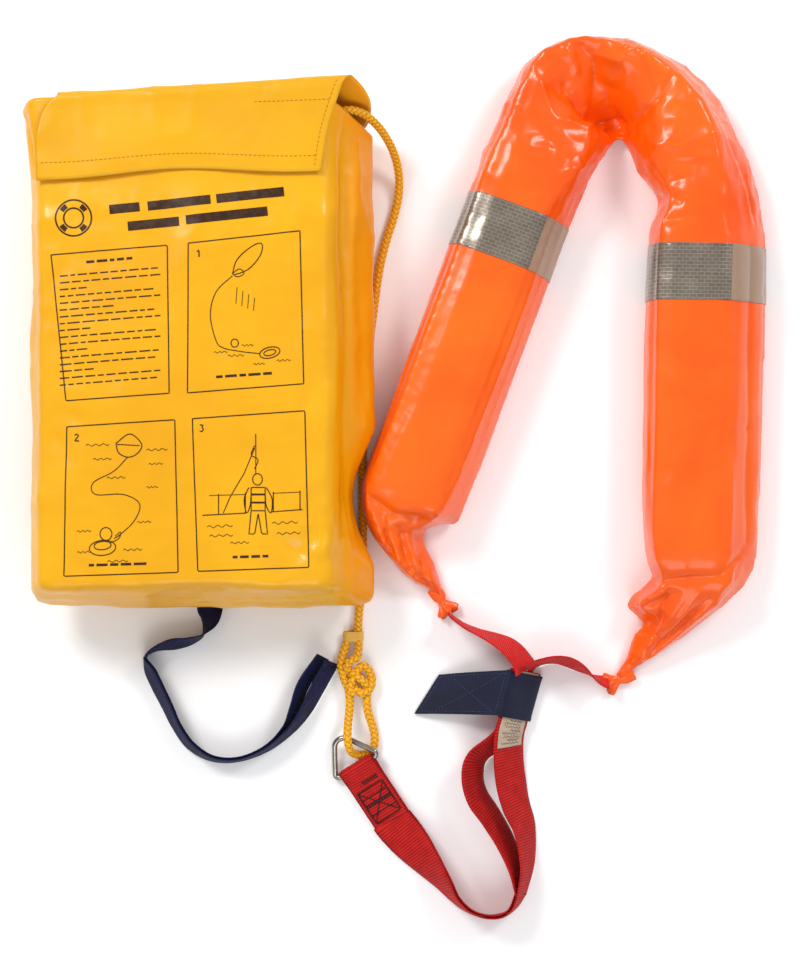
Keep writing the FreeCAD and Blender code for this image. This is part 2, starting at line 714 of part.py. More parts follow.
def build_crown():
    height = arm_height_out + crown_extra
    outer = crown_face().extrude(V(0, 0, height))
    hollow = crown_face(cover_wall)
    hollow.translate(V(0, 0, cover_wall))
    inner = hollow.extrude(V(0, 0, height - 2 * cover_wall))
    save("cover_crown", outer.cut(inner))
    core = crown_face(cover_wall + foam_gap)
    core.translate(V(0, 0, cover_wall + foam_gap))
    save("foam_crown", core.extrude(V(0, 0, height - 2 * (cover_wall + foam_gap))))


def upright_section(centre, heading, width, low, high):
    """Upright rectangle across a heading."""
    half = unit(heading + 90) * (width / 2)
    return [centre - half + V(0, 0, low), centre + half + V(0, 0, low),
            centre + half + V(0, 0, high), centre - half + V(0, 0, high)]


# Sections of the gathered ends: x, y from the arm's end corner, heading, width, lowest, highest.
left_tail_sections = [(31.1, -13.4, -110.4, 56, 12, 48), (37.1, -45.4, -76, 40, 5, 36),
                      (50.6, -70.4, -58, 30, 1, 26), (69.1, -96.4, -54, 12, 1, 13)]
right_tail_sections = [(54.32, -1.56, -91.2, 96, 2, 58), (38.32, -37.06, -118, 84, 1, 44),
                       (18.32, -64.06, -130, 48, 1, 32), (-0.68, -90.06, -132, 24, 1, 20),
                       (-20.18, -111.06, -150, 12, 1, 13)]


def build_tail_and_tie(side, corner, sections, tie_shift, tie_heading):
    """A cover's end is gathered to a neck, and the neck is bound to the lead."""
    outlines = [upright_section(corner + V(x, y, 0), heading, width, low, high)
                for x, y, heading, width, low, high in sections]
    save("gathered_tail_" + side, loft(outlines))
    neck = corner + V(sections[-1][0], sections[-1][1], 0) + tie_shift
    neck.z = tie_radius + floor_gap
    save("tail_tie_" + side, Part.makeCylinder(tie_radius, tie_length, neck, unit(tie_heading)))


def build_tails():
    """The left arm ends at its corner; the right arm's corner is at its upper end."""
    build_tail_and_tie("left", left_arm_corner, left_tail_sections, V(0.7, -1.2, 0), -56)
    right_end = right_arm_corner + unit(right_arm_heading) * right_arm_length
    build_tail_and_tie("right", right_end, right_tail_sections, V(-1.3, -0.8, 0), -155)


os.makedirs("parts", exist_ok=True)
build_bag()
build_lid()
build_stowed_line()
build_line()
build_ring()
build_strap_eye()
build_strap()
build_keeper()
build_tail()
build_arm("left", left_arm_corner, left_arm_heading, -1, left_arm_length, left_arm_base,
          left_arm_length - left_band_inset - band_width)
build_arm("right", right_arm_corner, right_arm_heading, 1, right_arm_length, right_arm_base, right_band_inset)
build_crown()
build_tails()
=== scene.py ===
import bpy
import bmesh
import math
import numpy as np
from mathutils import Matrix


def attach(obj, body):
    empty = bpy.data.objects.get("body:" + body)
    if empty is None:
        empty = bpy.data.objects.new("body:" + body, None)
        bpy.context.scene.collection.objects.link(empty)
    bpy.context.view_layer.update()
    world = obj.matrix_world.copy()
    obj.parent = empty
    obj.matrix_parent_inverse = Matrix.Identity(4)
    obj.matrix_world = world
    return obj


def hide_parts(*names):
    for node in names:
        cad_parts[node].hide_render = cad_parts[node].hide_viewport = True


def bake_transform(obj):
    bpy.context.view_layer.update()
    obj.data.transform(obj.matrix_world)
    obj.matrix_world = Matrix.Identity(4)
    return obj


# Man-overboard kit laid out flat: a full stowage bag, its throwing line, a delta ring, a doubled
# red lifting strap with a keeper, a navy tail and an orange horseshoe sling. Shapes are worked
# out in millimetres and put into the meshes in metres.

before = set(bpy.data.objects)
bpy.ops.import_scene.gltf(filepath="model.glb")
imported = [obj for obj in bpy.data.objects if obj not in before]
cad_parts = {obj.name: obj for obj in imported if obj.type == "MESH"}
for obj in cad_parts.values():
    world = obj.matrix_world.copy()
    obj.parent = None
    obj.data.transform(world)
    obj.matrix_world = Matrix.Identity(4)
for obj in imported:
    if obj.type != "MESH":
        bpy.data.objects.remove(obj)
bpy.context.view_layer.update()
scene = bpy.context.scene
mm = 0.001


# ---- small helpers for numbers

def hexColour(code):
    # sRGB to linear: c / 12.92 up to 0.04045, else ((c + 0.055) / 1.055) to the power 2.4
    value = np.array([int(code[i:i + 2], 16) for i in (0, 2, 4)]) / 255
    linear = np.where(value <= 0.04045, value / 12.92, ((value + 0.055) / 1.055) ** 2.4)
    return (*linear.tolist(), 1.0)


def unitRows(vectors):
    # each vector divided by its length
    return vectors / np.maximum(np.linalg.norm(vectors, axis=-1, keepdims=True), 1e-9)


def easeStep(low, high, value):
    # 0 below low, 1 above high, 3t^2 - 2t^3 between
    t = np.clip((value - low) / (high - low), 0, 1)
    return t * t * (3 - 2 * t)


def latticeNoise(points, cell, seed):
    # random values at the corners of a cubic lattice, blended by 3t^2 - 2t^3; result 0 to 1
    place = points / cell
    base = np.floor(place).astype(np.int64)
    part = place - base
    weight = part * part * (3 - 2 * part)
    total = np.zeros(points.shape[:-1])
    for corner in np.ndindex(2, 2, 2):
        key = base + np.array(corner)
        mixed = (key[..., 0] * 73856093) ^ (key[..., 1] * 19349663) ^ (key[...,
                                                                           2] * 83492791) ^ (seed * 374761)
        mixed = (mixed ^ (mixed >> 13)) * 1274126177
        value = ((mixed ^ (mixed >> 16)) & 65535) / 65535
        share = np.prod(np.where(np.array(corner) == 1, weight, 1 - weight), axis=-1)
        total += value * share
    return total


def foldNoise(points, cell, seed, sharp=3.0):
    # ridges where the noise passes its middle: (1 - |2n - 1|) to a power
    return (1 - np.abs(2 * latticeNoise(points, cell, seed) - 1)) ** sharp


def throughPoints(points, steps):
    # Catmull-Rom curve through the points, with the same number of steps in each span
    points = np.asarray(points, float)
    ends = np.vstack([2 * points[:1] - points[1:2], points, 2 * points[-1:] - points[-2:-1]])
    before, start, end, after = ends[:-3], ends[1:-2], ends[2:-1], ends[3:]
    t = (np.arange(steps) / steps)[None, :, None]
    a, b, c, d = (array[:, None, :] for array in (before, start, end, after))
    curve = 0.5 * (2 * b + (c - a) * t + (2 * a - 5 * b + 4 * c - d) * t ** 2
                   + (3 * b - a - 3 * c + d) * t ** 3)
    return np.vstack([curve.reshape(-1, points.shape[1]), points[-1:]])


def evenSteps(curve, spacing, dimensions=3):
    # the same curve at even distances along it
    gaps = np.linalg.norm(np.diff(curve[:, :dimensions], axis=0), axis=1)
    along = np.concatenate([[0], np.cumsum(gaps)])
    count = max(int(round(along[-1] / spacing)), 2)
    wanted = np.linspace(0, along[-1], count + 1)
    return np.stack([np.interp(wanted, along, curve[:, i]) for i in range(curve.shape[1])], axis=1)


def alongDistance(curve):
    # distance from the start to each point: the running sum of the gaps
    return np.concatenate([[0], np.cumsum(np.linalg.norm(np.diff(curve[:, :3], axis=0), axis=1))])


# ---- small helpers for meshes

def linkPiece(name, mesh):
    # an object at the origin that holds the mesh
    piece = bpy.data.objects.new(name, mesh)
    scene.collection.objects.link(piece)
    return piece


def shadeFaces(mesh, smooth=True):
    # every face smooth, or every face flat
    mesh.polygons.foreach_set("use_smooth", np.full(len(mesh.polygons), smooth))


def meshPiece(name, points, faces, materials, uv=None, smooth=True):
    # one object from points in millimetres; uv has one pair for each face corner
    mesh = bpy.data.meshes.new(name)
    mesh.from_pydata((np.asarray(points) * mm).tolist(), [], np.asarray(faces).tolist())
    for material in materials if isinstance(materials, (list, tuple)) else [materials]:
        mesh.materials.append(material)
    if uv is not None:
        mesh.uv_layers.new(name="UVMap").data.foreach_set("uv", np.asarray(uv, float).ravel())
    shadeFaces(mesh, smooth)
    mesh.update()
    return linkPiece(name, mesh)


def gridFaces(rows, columns, closeRows=False, closeColumns=False):
    # four-cornered faces between neighbouring rows and columns
    i = np.arange(rows if closeRows else rows - 1)[:, None]
    j = np.arange(columns if closeColumns else columns - 1)[None, :]
    nextRow = (i + 1) % rows
    nextColumn = (j + 1) % columns
    corners = [i * columns + j, i * columns + nextColumn, nextRow * columns + nextColumn,
               nextRow * columns + j]
    return np.stack(np.broadcast_arrays(*corners), axis=-1).reshape(-1, 4)


def gridUv(across, along):
    # corner pairs for the same faces, from values at the columns and the rows
    u = np.broadcast_to(across[None, :], (len(along), len(across)))
    v = np.broadcast_to(along[:, None], (len(along), len(across)))
    pairs = np.stack([u, v], axis=-1)
    corners = [pairs[:-1, :-1], pairs[:-1, 1:], pairs[1:, 1:], pairs[1:, :-1]]
    return np.stack(corners, axis=2).reshape(-1, 2)


def gridNormals(grid, closeColumns=False):
    # cross product of the differences across and along
    if closeColumns:
        across = np.roll(grid, -1, axis=1) - np.roll(grid, 1, axis=1)
    else:
        across = np.gradient(grid, axis=1)
    return unitRows(np.cross(across, np.gradient(grid, axis=0)))


def blurRing(values, width):
    # circular Gaussian average along axis 1, width in samples
    reach = int(3 * width) + 1
    steps = np.arange(-reach, reach + 1)
    weights = np.exp(-0.5 * (steps / width) ** 2)
    weights /= weights.sum()
    return sum(w * np.roll(values, s, axis=1) for s, w in zip(steps, weights))


def finishedMesh(piece):
    # applies the piece's modifiers and leaves it with none
    graph = bpy.context.evaluated_depsgraph_get()
    mesh = bpy.data.meshes.new_from_object(piece.evaluated_get(graph))
    piece.modifiers.clear()
    piece.data = mesh
    return piece


def getPoints(mesh):
    # the mesh's points in metres, one row each
    flat = np.empty(len(mesh.vertices) * 3)
    mesh.vertices.foreach_get("co", flat)
    return flat.reshape(-1, 3)


def getNormals(mesh):
    # the mesh's point normals, one row each
    flat = np.empty(len(mesh.vertices) * 3, np.float32)
    mesh.vertices.foreach_get("normal", flat)
    return flat.reshape(-1, 3).astype(float)


def setPoints(mesh, points):
    # moves the mesh's points to these rows, in metres
    mesh.vertices.foreach_set("co", np.ascontiguousarray(points, np.float32).ravel())
    mesh.update()


def thicken(piece, thickness, offset=-1.0, innerSlot=0):
    # gives a sheet its wall, in metres; offset -1 grows inwards
    wall = piece.modifiers.new("wall", "SOLIDIFY")
    wall.thickness = thickness
    wall.offset = offset
    wall.use_even_offset = False
    wall.material_offset = innerSlot
    return piece


def mergeDoubles(piece, distance=0.00002):
    # joins points closer than the distance in metres and turns the faces outwards
    work = bmesh.new()
    work.from_mesh(piece.data)
    bmesh.ops.remove_doubles(work, verts=work.verts, dist=distance)
    bmesh.ops.recalc_face_normals(work, faces=work.faces)
    work.to_mesh(piece.data)
    work.free()


# ---- materials

def addNode(tree, kind, settings=None, links=None, stops=()):
    # adds one node of a kind named without its prefix, sets its sockets or properties, links other
    # nodes' sockets into it, and gives a colour ramp its stops as (place, colour code)
    node = tree.nodes.new("ShaderNode" + kind)
    for key, value in (settings or {}).items():
        if isinstance(key, int) or key in node.inputs:
            node.inputs[key].default_value = value
        else:
            setattr(node, key, value)
    for key, source in (links or {}).items():
        tree.links.new(source, node.inputs[key])
    for number, (place, code) in enumerate(stops):
        elements = node.color_ramp.elements
        element = elements[number] if number < len(elements) else elements.new(place)
        element.position = place
        element.color = hexColour(code)
    return node


def startMaterial(name, **surface):
    # an empty principled material; surface holds its constant values
    material = bpy.data.materials.new(name)
    material.use_nodes = True
    tree = material.node_tree
    shader = tree.nodes["Principled BSDF"]
    for key, value in surface.items():
        shader.inputs[key].default_value = value
    return material, tree, shader


def finishMaterial(tree, shader, colour, reliefs):
    # links the colour, then chains a bump for each relief: (height socket, strength, metres)
    tree.links.new(colour, shader.inputs["Base Color"])
    links = {}
    for height, strength, distance in reliefs:
        links["Height"] = height
        bump = addNode(tree, "Bump", {"Strength": strength, "Distance": distance}, links)
        links = {"Normal": bump.outputs[0]}
    tree.links.new(bump.outputs[0], shader.inputs["Normal"])


def waveScale(pitch, unit=mm):
    # a wave texture has one band in pi / 10 of its coordinate at scale 1, so scale = pi / (10 pitch)
    return math.pi / (10 * pitch * unit)


def coatedFabric(name, light, deep, roughness, coat, side=None, threadPitch=1.3):
    # PVC-coated polyester, calendered: a smooth plastic skin with the scrim's threads just
    # telegraphing through it, so it shines like wet paint and breaks the light in soft creases
    material, tree, shader = startMaterial(name, **{
        "Roughness": roughness, "IOR": 1.53, "Specular IOR Level": 0.25, "Coat Weight": coat,
        "Coat Roughness": 0.16})
    place = addNode(tree, "TexCoord").outputs["Object"]
    cloud = addNode(tree, "TexNoise", {"Scale": 9.0, "Detail": 4.0, "Distortion": 0.4}, {"Vector": place})
    colour = addNode(tree, "ValToRGB", None, {"Fac": cloud.outputs[0]},
                     [(0.3, deep), (0.72, light)]).outputs[0]
    # side, when given, is (colour, low x, high x): from low x to high x in object space the colour blends
    # into painted shade, a deeper orange that also holds a painted reflection of the orange sling
    if side:
        split = addNode(tree, "SeparateXYZ", None, {"Vector": place})
        edge = addNode(tree, "MapRange", {"From Min": side[1], "From Max": side[2]},
                       {"Value": split.outputs[0]})
        colour = addNode(tree, "Mix", {"data_type": "RGBA", 7: hexColour(side[0])},
                         {0: edge.outputs[0], 6: colour}).outputs[2]
    threads = [addNode(tree, "TexWave", {"Scale": waveScale(threadPitch), "bands_direction": axis},
                       {"Vector": place}).outputs["Fac"] for axis in ("X", "Y")]
    weave = addNode(tree, "Math", {"operation": "MAXIMUM"}, {0: threads[0], 1: threads[1]})
    crease = addNode(tree, "TexNoise", {"Scale": 38.0, "Detail": 5.0, "Distortion": 1.2}, {"Vector": place})
    dent = addNode(tree, "TexNoise", {"Scale": 11.0, "Detail": 3.0, "Distortion": 0.8}, {"Vector": place})
    finishMaterial(tree, shader, colour, [(weave.outputs[0], 0.05, 0.0002), (crease.outputs[0], 0.22, 0.0012),
                                          (dent.outputs[0], 0.4, 0.006)])
    return material


def wovenStrap(name, light, deep, ribPitch, roughness=0.7):
    # polyester webbing, narrow woven: cords of weft stand as ribs across the strap, matt on top,
    # with painted shade in the grooves between them; u and v of its map are millimetres across and along
    material, tree, shader = startMaterial(name, **{"Roughness": roughness, "Specular IOR Level": 0.22,
                                                    "IOR": 1.5})
    place = addNode(tree, "TexCoord").outputs["UV"]
    ribs = addNode(tree, "TexWave", {"Scale": waveScale(ribPitch, 1.0), "bands_direction": "Y"},
                   {"Vector": place}).outputs["Fac"]
    yarn = addNode(tree, "TexWave",
                   {"Scale": waveScale(1.3, 1.0), "bands_direction": "X", "Distortion": 1.0, "Detail": 1.0},
                   {"Vector": place}).outputs["Fac"]
    cloud = addNode(tree, "TexNoise", {"Scale": 0.09, "Detail": 4.0}, {"Vector": place}).outputs[0]
    base = addNode(tree, "ValToRGB", None, {"Fac": cloud}, [(0.3, deep), (0.7, light)]).outputs[0]
    # painted shade: the grooves between the ribs are multiplied down towards 8C8C8C
    gaps = addNode(tree, "ValToRGB", None, {"Fac": ribs}, [(0.0, "8C8C8C"), (0.45, "FFFFFF")]).outputs[0]
    twist = addNode(tree, "ValToRGB", None, {"Fac": yarn}, [(0.0, "C4C4C4"), (1.0, "FFFFFF")]).outputs[0]
    ribGrooveShade = addNode(tree, "Mix", {"data_type": "RGBA", "blend_type": "MULTIPLY", 0: 0.85},
                     {6: base, 7: gaps})
    colour = addNode(tree, "Mix", {"data_type": "RGBA", "blend_type": "MULTIPLY", 0: 0.6},
                     {6: ribGrooveShade.outputs[2], 7: twist}).outputs[2]
    finishMaterial(tree, shader, colour, [(ribs, 0.5, 0.0005), (yarn, 0.3, 0.00025)])
    return material


def braidedRope(name, light, deep):
    # polypropylene rope, plaited: slippery split-film yarns that catch the light along each
    # strand; u and v are millimetres round and along, and plait is the strands' height
    material, tree, shader = startMaterial(name, **{
        "Roughness": 0.5, "IOR": 1.49, "Specular IOR Level": 0.35, "Subsurface Weight": 0.08,
        "Subsurface Radius": (0.003, 0.002, 0.001)})
    place = addNode(tree, "TexCoord").outputs["UV"]
    drawn = addNode(tree, "Mapping", {"Scale": (2.6, 0.7, 1)}, {"Vector": place}).outputs[0]
    yarn = addNode(tree, "TexNoise", {"Scale": 1.3, "Detail": 4.0}, {"Vector": drawn}).outputs[0]
    grooveShadeMask = addNode(tree, "Attribute", {"attribute_name": "plait"}).outputs["Fac"]
    # painted shade: the colour falls to the deep stop where the strands sink into the grooves between them
    base = addNode(tree, "ValToRGB", None, {"Fac": grooveShadeMask}, [(0.02, deep), (0.42, light)]).outputs[0]
    shade = addNode(tree, "ValToRGB", None, {"Fac": yarn}, [(0.25, "D6D0BC"), (0.7, "FFFFFF")]).outputs[0]
    colour = addNode(tree, "Mix", {"data_type": "RGBA", "blend_type": "MULTIPLY", 0: 0.6},
                     {6: base, 7: shade})
    finishMaterial(tree, shader, colour.outputs[2], [(yarn, 0.5, 0.0003)])
    return material


def sewingThread(name, light, deep):
    # bonded polyester thread, twisted: matt with a slight gloss on its turns
    material, tree, shader = startMaterial(name, **{"Roughness": 0.55, "Specular IOR Level": 0.3})
    place = addNode(tree, "TexCoord").outputs["Object"]
    cloud = addNode(tree, "TexNoise", {"Scale": 420.0, "Detail": 2.0}, {"Vector": place}).outputs[0]
    colour = addNode(tree, "ValToRGB", None, {"Fac": cloud}, [(0.3, deep), (0.7, light)]).outputs[0]
    finishMaterial(tree, shader, colour, [(cloud, 0.3, 0.0002)])
    return material


def polishedSteel(name):
    # stainless steel rod, bent, welded and tumbled: bright with faint drawn lines
    material, tree, shader = startMaterial(name, **{"Metallic": 1.0, "Roughness": 0.17})
    place = addNode(tree, "TexCoord").outputs["Object"]
    stain = addNode(tree, "TexNoise", {"Scale": 60.0, "Detail": 5.0}, {"Vector": place}).outputs[0]
    colour = addNode(tree, "ValToRGB", None, {"Fac": stain}, [(0.3, "77726A"), (0.7, "B0ABA2")]).outputs[0]
    rough = addNode(tree, "MapRange", {"To Min": 0.1, "To Max": 0.28}, {"Value": stain})
    tree.links.new(rough.outputs[0], shader.inputs["Roughness"])
    lines = addNode(tree, "TexNoise", {"Scale": 900.0, "Detail": 2.0}, {"Vector": place}).outputs[0]
    finishMaterial(tree, shader, colour, [(lines, 0.08, 0.0001)])
    return material


def beadTape(name, turn, cell):
    # retro-reflective marine tape: glass beads sealed behind a clear film in small cells,
    # brown-grey under soft light with pale welds between the cells
    material, tree, shader = startMaterial(name, **{
        "Metallic": 0.35, "Roughness": 0.3, "Coat Weight": 0.6, "Coat Roughness": 0.1})
    source = addNode(tree, "TexCoord").outputs["Object"]
    place = addNode(tree, "Mapping", {"Rotation": (0, 0, turn)}, {"Vector": source}).outputs[0]
    cells = addNode(tree, "TexBrick", {
        "Color1": hexColour("746859"), "Color2": hexColour("7E7264"), "Mortar": hexColour("9C9080"),
        "Scale": 1.0, "Mortar Size": 0.0004, "Mortar Smooth": 0.6, "Brick Width": cell * mm,
        "Row Height": cell * mm * 0.5, "offset": 0.5, "offset_frequency": 2}, {"Vector": place})
    cloud = addNode(tree, "TexNoise", {"Scale": 30.0, "Detail": 3.0}, {"Vector": place}).outputs[0]
    tone = addNode(tree, "ValToRGB", None, {"Fac": cloud}, [(0.3, "BDBDBD"), (0.7, "FFFFFF")]).outputs[0]
    colour = addNode(tree, "Mix", {"data_type": "RGBA", "blend_type": "MULTIPLY", 0: 0.7},
                     {6: cells.outputs["Color"], 7: tone}).outputs[2]
    dent = addNode(tree, "TexNoise", {"Scale": 60.0}, {"Vector": place}).outputs[0]
    finishMaterial(tree, shader, colour, [(cells.outputs["Fac"], 0.2, 0.0001), (dent, 0.12, 0.001)])
    return material


def wovenTape(name, light, deep, pitch, strength=0.4, **surface):
    # plain-woven nylon or cotton: crossing threads at the given pitch in millimetres
    material, tree, shader = startMaterial(name, **{"Specular IOR Level": 0.25, **surface})
    place = addNode(tree, "TexCoord").outputs["Object"]
    threads = [addNode(tree, "TexWave",
                       {"Scale": waveScale(pitch), "bands_direction": axis, "Distortion": 0.6},
                       {"Vector": place}).outputs["Fac"] for axis in ("X", "Y")]
    weave = addNode(tree, "Math", {"operation": "MULTIPLY"}, {0: threads[0], 1: threads[1]}).outputs[0]
    cloud = addNode(tree, "TexNoise", {"Scale": 45.0, "Detail": 4.0}, {"Vector": place}).outputs[0]
    both = addNode(tree, "Math", {"operation": "MULTIPLY_ADD", 1: 0.35}, {0: weave, 2: cloud}).outputs[0]
    colour = addNode(tree, "ValToRGB", None, {"Fac": both}, [(0.3, deep), (0.85, light)]).outputs[0]
    finishMaterial(tree, shader, colour, [(weave, strength, 0.0003)])
    return material


def screenInk(name, light, deep, grain=260.0):
    # screen-printed vinyl ink: thin, half matt and slightly uneven where it meets the weave
    material, tree, shader = startMaterial(name, **{"Roughness": 0.42, "Specular IOR Level": 0.3})
    place = addNode(tree, "TexCoord").outputs["Object"]
    cloud = addNode(tree, "TexNoise", {"Scale": grain, "Detail": 3.0}, {"Vector": place}).outputs[0]
    colour = addNode(tree, "ValToRGB", None, {"Fac": cloud}, [(0.25, light), (0.6, deep)]).outputs[0]
    finishMaterial(tree, shader, colour, [(cloud, 0.1, 0.0001)])
    return material


paint = {
    # the right gusset, x 108 to 128 mm, turns to EA9400: painted shade with a painted reflection of the
    # sling's orange
    "bag": coatedFabric("bagPvc", "EAAB02", "DE9C00", 0.34, 0.2, side=("EA9400", 0.108, 0.128)),
    "lid": coatedFabric("lidPvc", "E2A604", "D69800", 0.38, 0.16),
    # the inside faces: a separate orange-yellow copy of the PVC, painted shade standing for the yellow
    # fabric's inside as it looks in shade
    "shadedInside": coatedFabric("shadedInsidePvc", "FFB824", "F6A410", 0.45, 0.1),
    "sling": coatedFabric("slingPvc", "F8690C", "F05204", 0.26, 0.26, threadPitch=1.2),
    "rope": braidedRope("floatingRope", "FBB91A", "C98206"),
    "redStrap": wovenStrap("redWebbing", "DA1D19", "BE1210", 2.5),
    "brightStrap": wovenStrap("brightWebbing", "F02A26", "DE1E1C", 1.8),
    "navyStrap": wovenStrap("navyWebbing", "1C205C", "101228", 1.8),
    "darkThread": sewingThread("darkThread", "35100E", "200808"),
    "navyThread": sewingThread("navyThread", "39406A", "262B4C"),
    "plumThread": sewingThread("plumThread", "6A3A5E", "4E2A48"),
    "goldThread": sewingThread("goldThread", "C98A08", "A06C04"),
    "steel": polishedSteel("ringSteel"),
    "tapeLeft": beadTape("bandFilmLeft", math.radians(20.4), cell=6.4),
    "tapeRight": beadTape("bandFilmRight", math.radians(1.2), cell=6.4),
    # the bands' side faces past the ridge: a lighter, warmer copy of the tape as painted light
    "tapeLitSide": coatedFabric("bandFilmLitSide", "A98A72", "9A7C66", 0.3, 0.4),
    "cordura": wovenTape("corduraNavy", "161C38", "0C1024", 1.3, 0.5, Roughness=0.6),
    "label": wovenTape("labelCotton", "C8B6A0", "A08A74", 0.8, 0.3, Roughness=0.8),
    "whipping": wovenTape("whippingTape", "ECC060", "CE9C3C", 1.0, 0.15, Roughness=0.5),
    "hookTape": wovenTape("hookLoopTape", "D89C0C", "B07C06", 1.4, 0.9, Roughness=0.9),
    "ink": screenInk("screenInk", "4A2A08", "2E1604"),
    "labelInk": screenInk("labelInk", "5C4A44", "3C2E2C", 400.0),
}
print("materials", len(paint))


# ---- camera, light and floor
view = {"place": (0.166, -0.103, 2.0), "lens": 82.97, "sensor": 36.0}
camera = bpy.data.objects.new("camera", bpy.data.cameras.new("camera"))
scene.collection.objects.link(camera)
camera.location = view["place"]
camera.data.lens = view["lens"]
camera.data.sensor_width = view["sensor"]
scene.camera = camera

room = {"floorHalf": 4000.0, "floorDrop": 0.15, "sky": "F4F5F8", "skyStrength": 0.62,
        "aim": (0.17, -0.05, 0.0),
        # place in metres, size, watts
        "lamps": [((-1.1, 1.3, 1.9), 0.75, 36.0), ((1.5, 1.1, 1.7), 0.6, 19.0),
                  ((0.2, -1.7, 1.8), 1.2, 13.0)]}
paint["floor"] = startMaterial("paleFloor", **{
    "Roughness": 0.9, "Specular IOR Level": 0.2, "Base Color": hexColour("FCFCFC")})[0]
corner = np.array([(-1, -1), (1, -1), (1, 1), (-1, 1)]) * room["floorHalf"]
floor = meshPiece("floor", np.column_stack([corner, np.full(4, -room["floorDrop"])]), [(0, 1, 2, 3)],
                  paint["floor"],
                  smooth=False)

world = bpy.data.worlds.new("softRoom")
scene.world = world
world.use_nodes = True
world.node_tree.nodes["Background"].inputs["Color"].default_value = hexColour(room["sky"])
world.node_tree.nodes["Background"].inputs["Strength"].default_value = room["skyStrength"]
scene.view_settings.view_transform = "Standard"

for number, (place, size, watts) in enumerate(room["lamps"], 1):
    lampData = bpy.data.lights.new("softBox%d" % number, "AREA")
    lampData.shape = "SQUARE"
    lampData.size = size
    lampData.energy = watts
    lamp = bpy.data.objects.new(lampData.name, lampData)
    scene.collection.objects.link(lamp)
    lamp.location = place
    aim = np.array(room["aim"]) - np.array(place)
    lamp.rotation_euler = (math.acos(-aim[2] / np.linalg.norm(aim)), 0,
                           math.atan2(aim[1], aim[0]) - math.pi / 2)
print("camera and lamps")


# ---- the throwing line and its eye
line = {
    "diameter": 8.0, "columns": 6, "plaitPitch": 4.6, "slant": 0.4, "relief": 0.15,
    "around": 40, "step": 0.5,
    "route": [(66, 70, 34), (66, 96, 34), (72, 135, 46), (84, 171, 61), (98, 200, 71.5), (115, 219, 76),
              (132, 218, 69), (146, 209, 54), (156.5, 196, 36.5), (163, 182, 21), (165.8, 166, 9.5),
              (164.5, 148, 4.7), (159.5, 129, 4.3), (152, 107, 4.3), (146.5, 82, 4.3), (142.5, 50, 4.3),
              (137, 10, 4.3), (133.3, -40, 4.3), (131.5, -98, 4.3), (132.5, -150, 4.3), (132, -189, 4.3),
              (130.3, -214, 4.3), (128, -231, 4.6), (128, -244, 4.6)],
    "eye": [(120.5, -304.1, 9), (120.5, -313, 9), (119, -325, 16), (118.5, -338, 24), (120.5, -349.5, 20),
            (124.5, -354, 8.5), (132, -355.5, 4.8), (141, -351.5, 4.8), (144, -341.5, 4.5),
            (141, -328, 4.5), (136, -315, 8), (136, -304.1, 8)],
    "length": 0.672, "eyeLength": 0.128}


def splinePath(name, route):
    # points along the NURBS spline whose control points are the route, in millimetres
    curve = bpy.data.curves.new(name, "CURVE")
    curve.dimensions = "3D"
    spline = curve.splines.new("NURBS")
    spline.points.add(len(route) - 1)
    spline.points.foreach_set("co", [value for x, y, z in route for value in (x * mm, y * mm, z * mm, 1.0)])
    spline.order_u = 3
    spline.use_endpoint_u = True
    spline.resolution_u = 24
    holder = linkPiece(name, curve)
    bpy.context.view_layer.update()
    mesh = bpy.data.meshes.new_from_object(holder.evaluated_get(bpy.context.evaluated_depsgraph_get()))
    points = getPoints(mesh) / mm
    bpy.data.objects.remove(holder)
    return points


def ropeSurface(path, part=line):
    # rings of radius r(1 - relief (1 - plait)) round the path; plait is the strands' height:
    # sqrt|sin(column angle)| times a cosine that slants one way in even columns, back in odd ones
    centre = evenSteps(path, part["step"])
    along = alongDistance(centre)
    tangent = unitRows(np.gradient(centre, axis=0))
    sideways = unitRows(np.cross(tangent, np.array([0, 0, 1.0])))
    upward = np.cross(sideways, tangent)
    angle = np.linspace(0, 2 * math.pi, part["around"], endpoint=False)
    wave = np.sin(part["columns"] * angle / 2)
    local = (part["columns"] * angle / (2 * math.pi)) % 1.0
    lean = np.where(wave > 0, 1, -1) * part["slant"] * local * 2 * math.pi
    plait = np.sqrt(np.abs(wave))[None, :] * (
        0.5 + 0.5 * np.cos(2 * math.pi * along[:, None] / part["plaitPitch"] + lean[None, :]))
    radius = part["diameter"] / 2 * (1 - part["relief"] * (1 - plait))
    ring = (np.cos(angle)[None, :, None] * sideways[:, None, :] + np.sin(angle)[None, :, None] * upward[:,
                                                                                                        None,
                                                                                                        :])
    return centre, along, centre[:, None, :] + ring * radius[..., None], plait


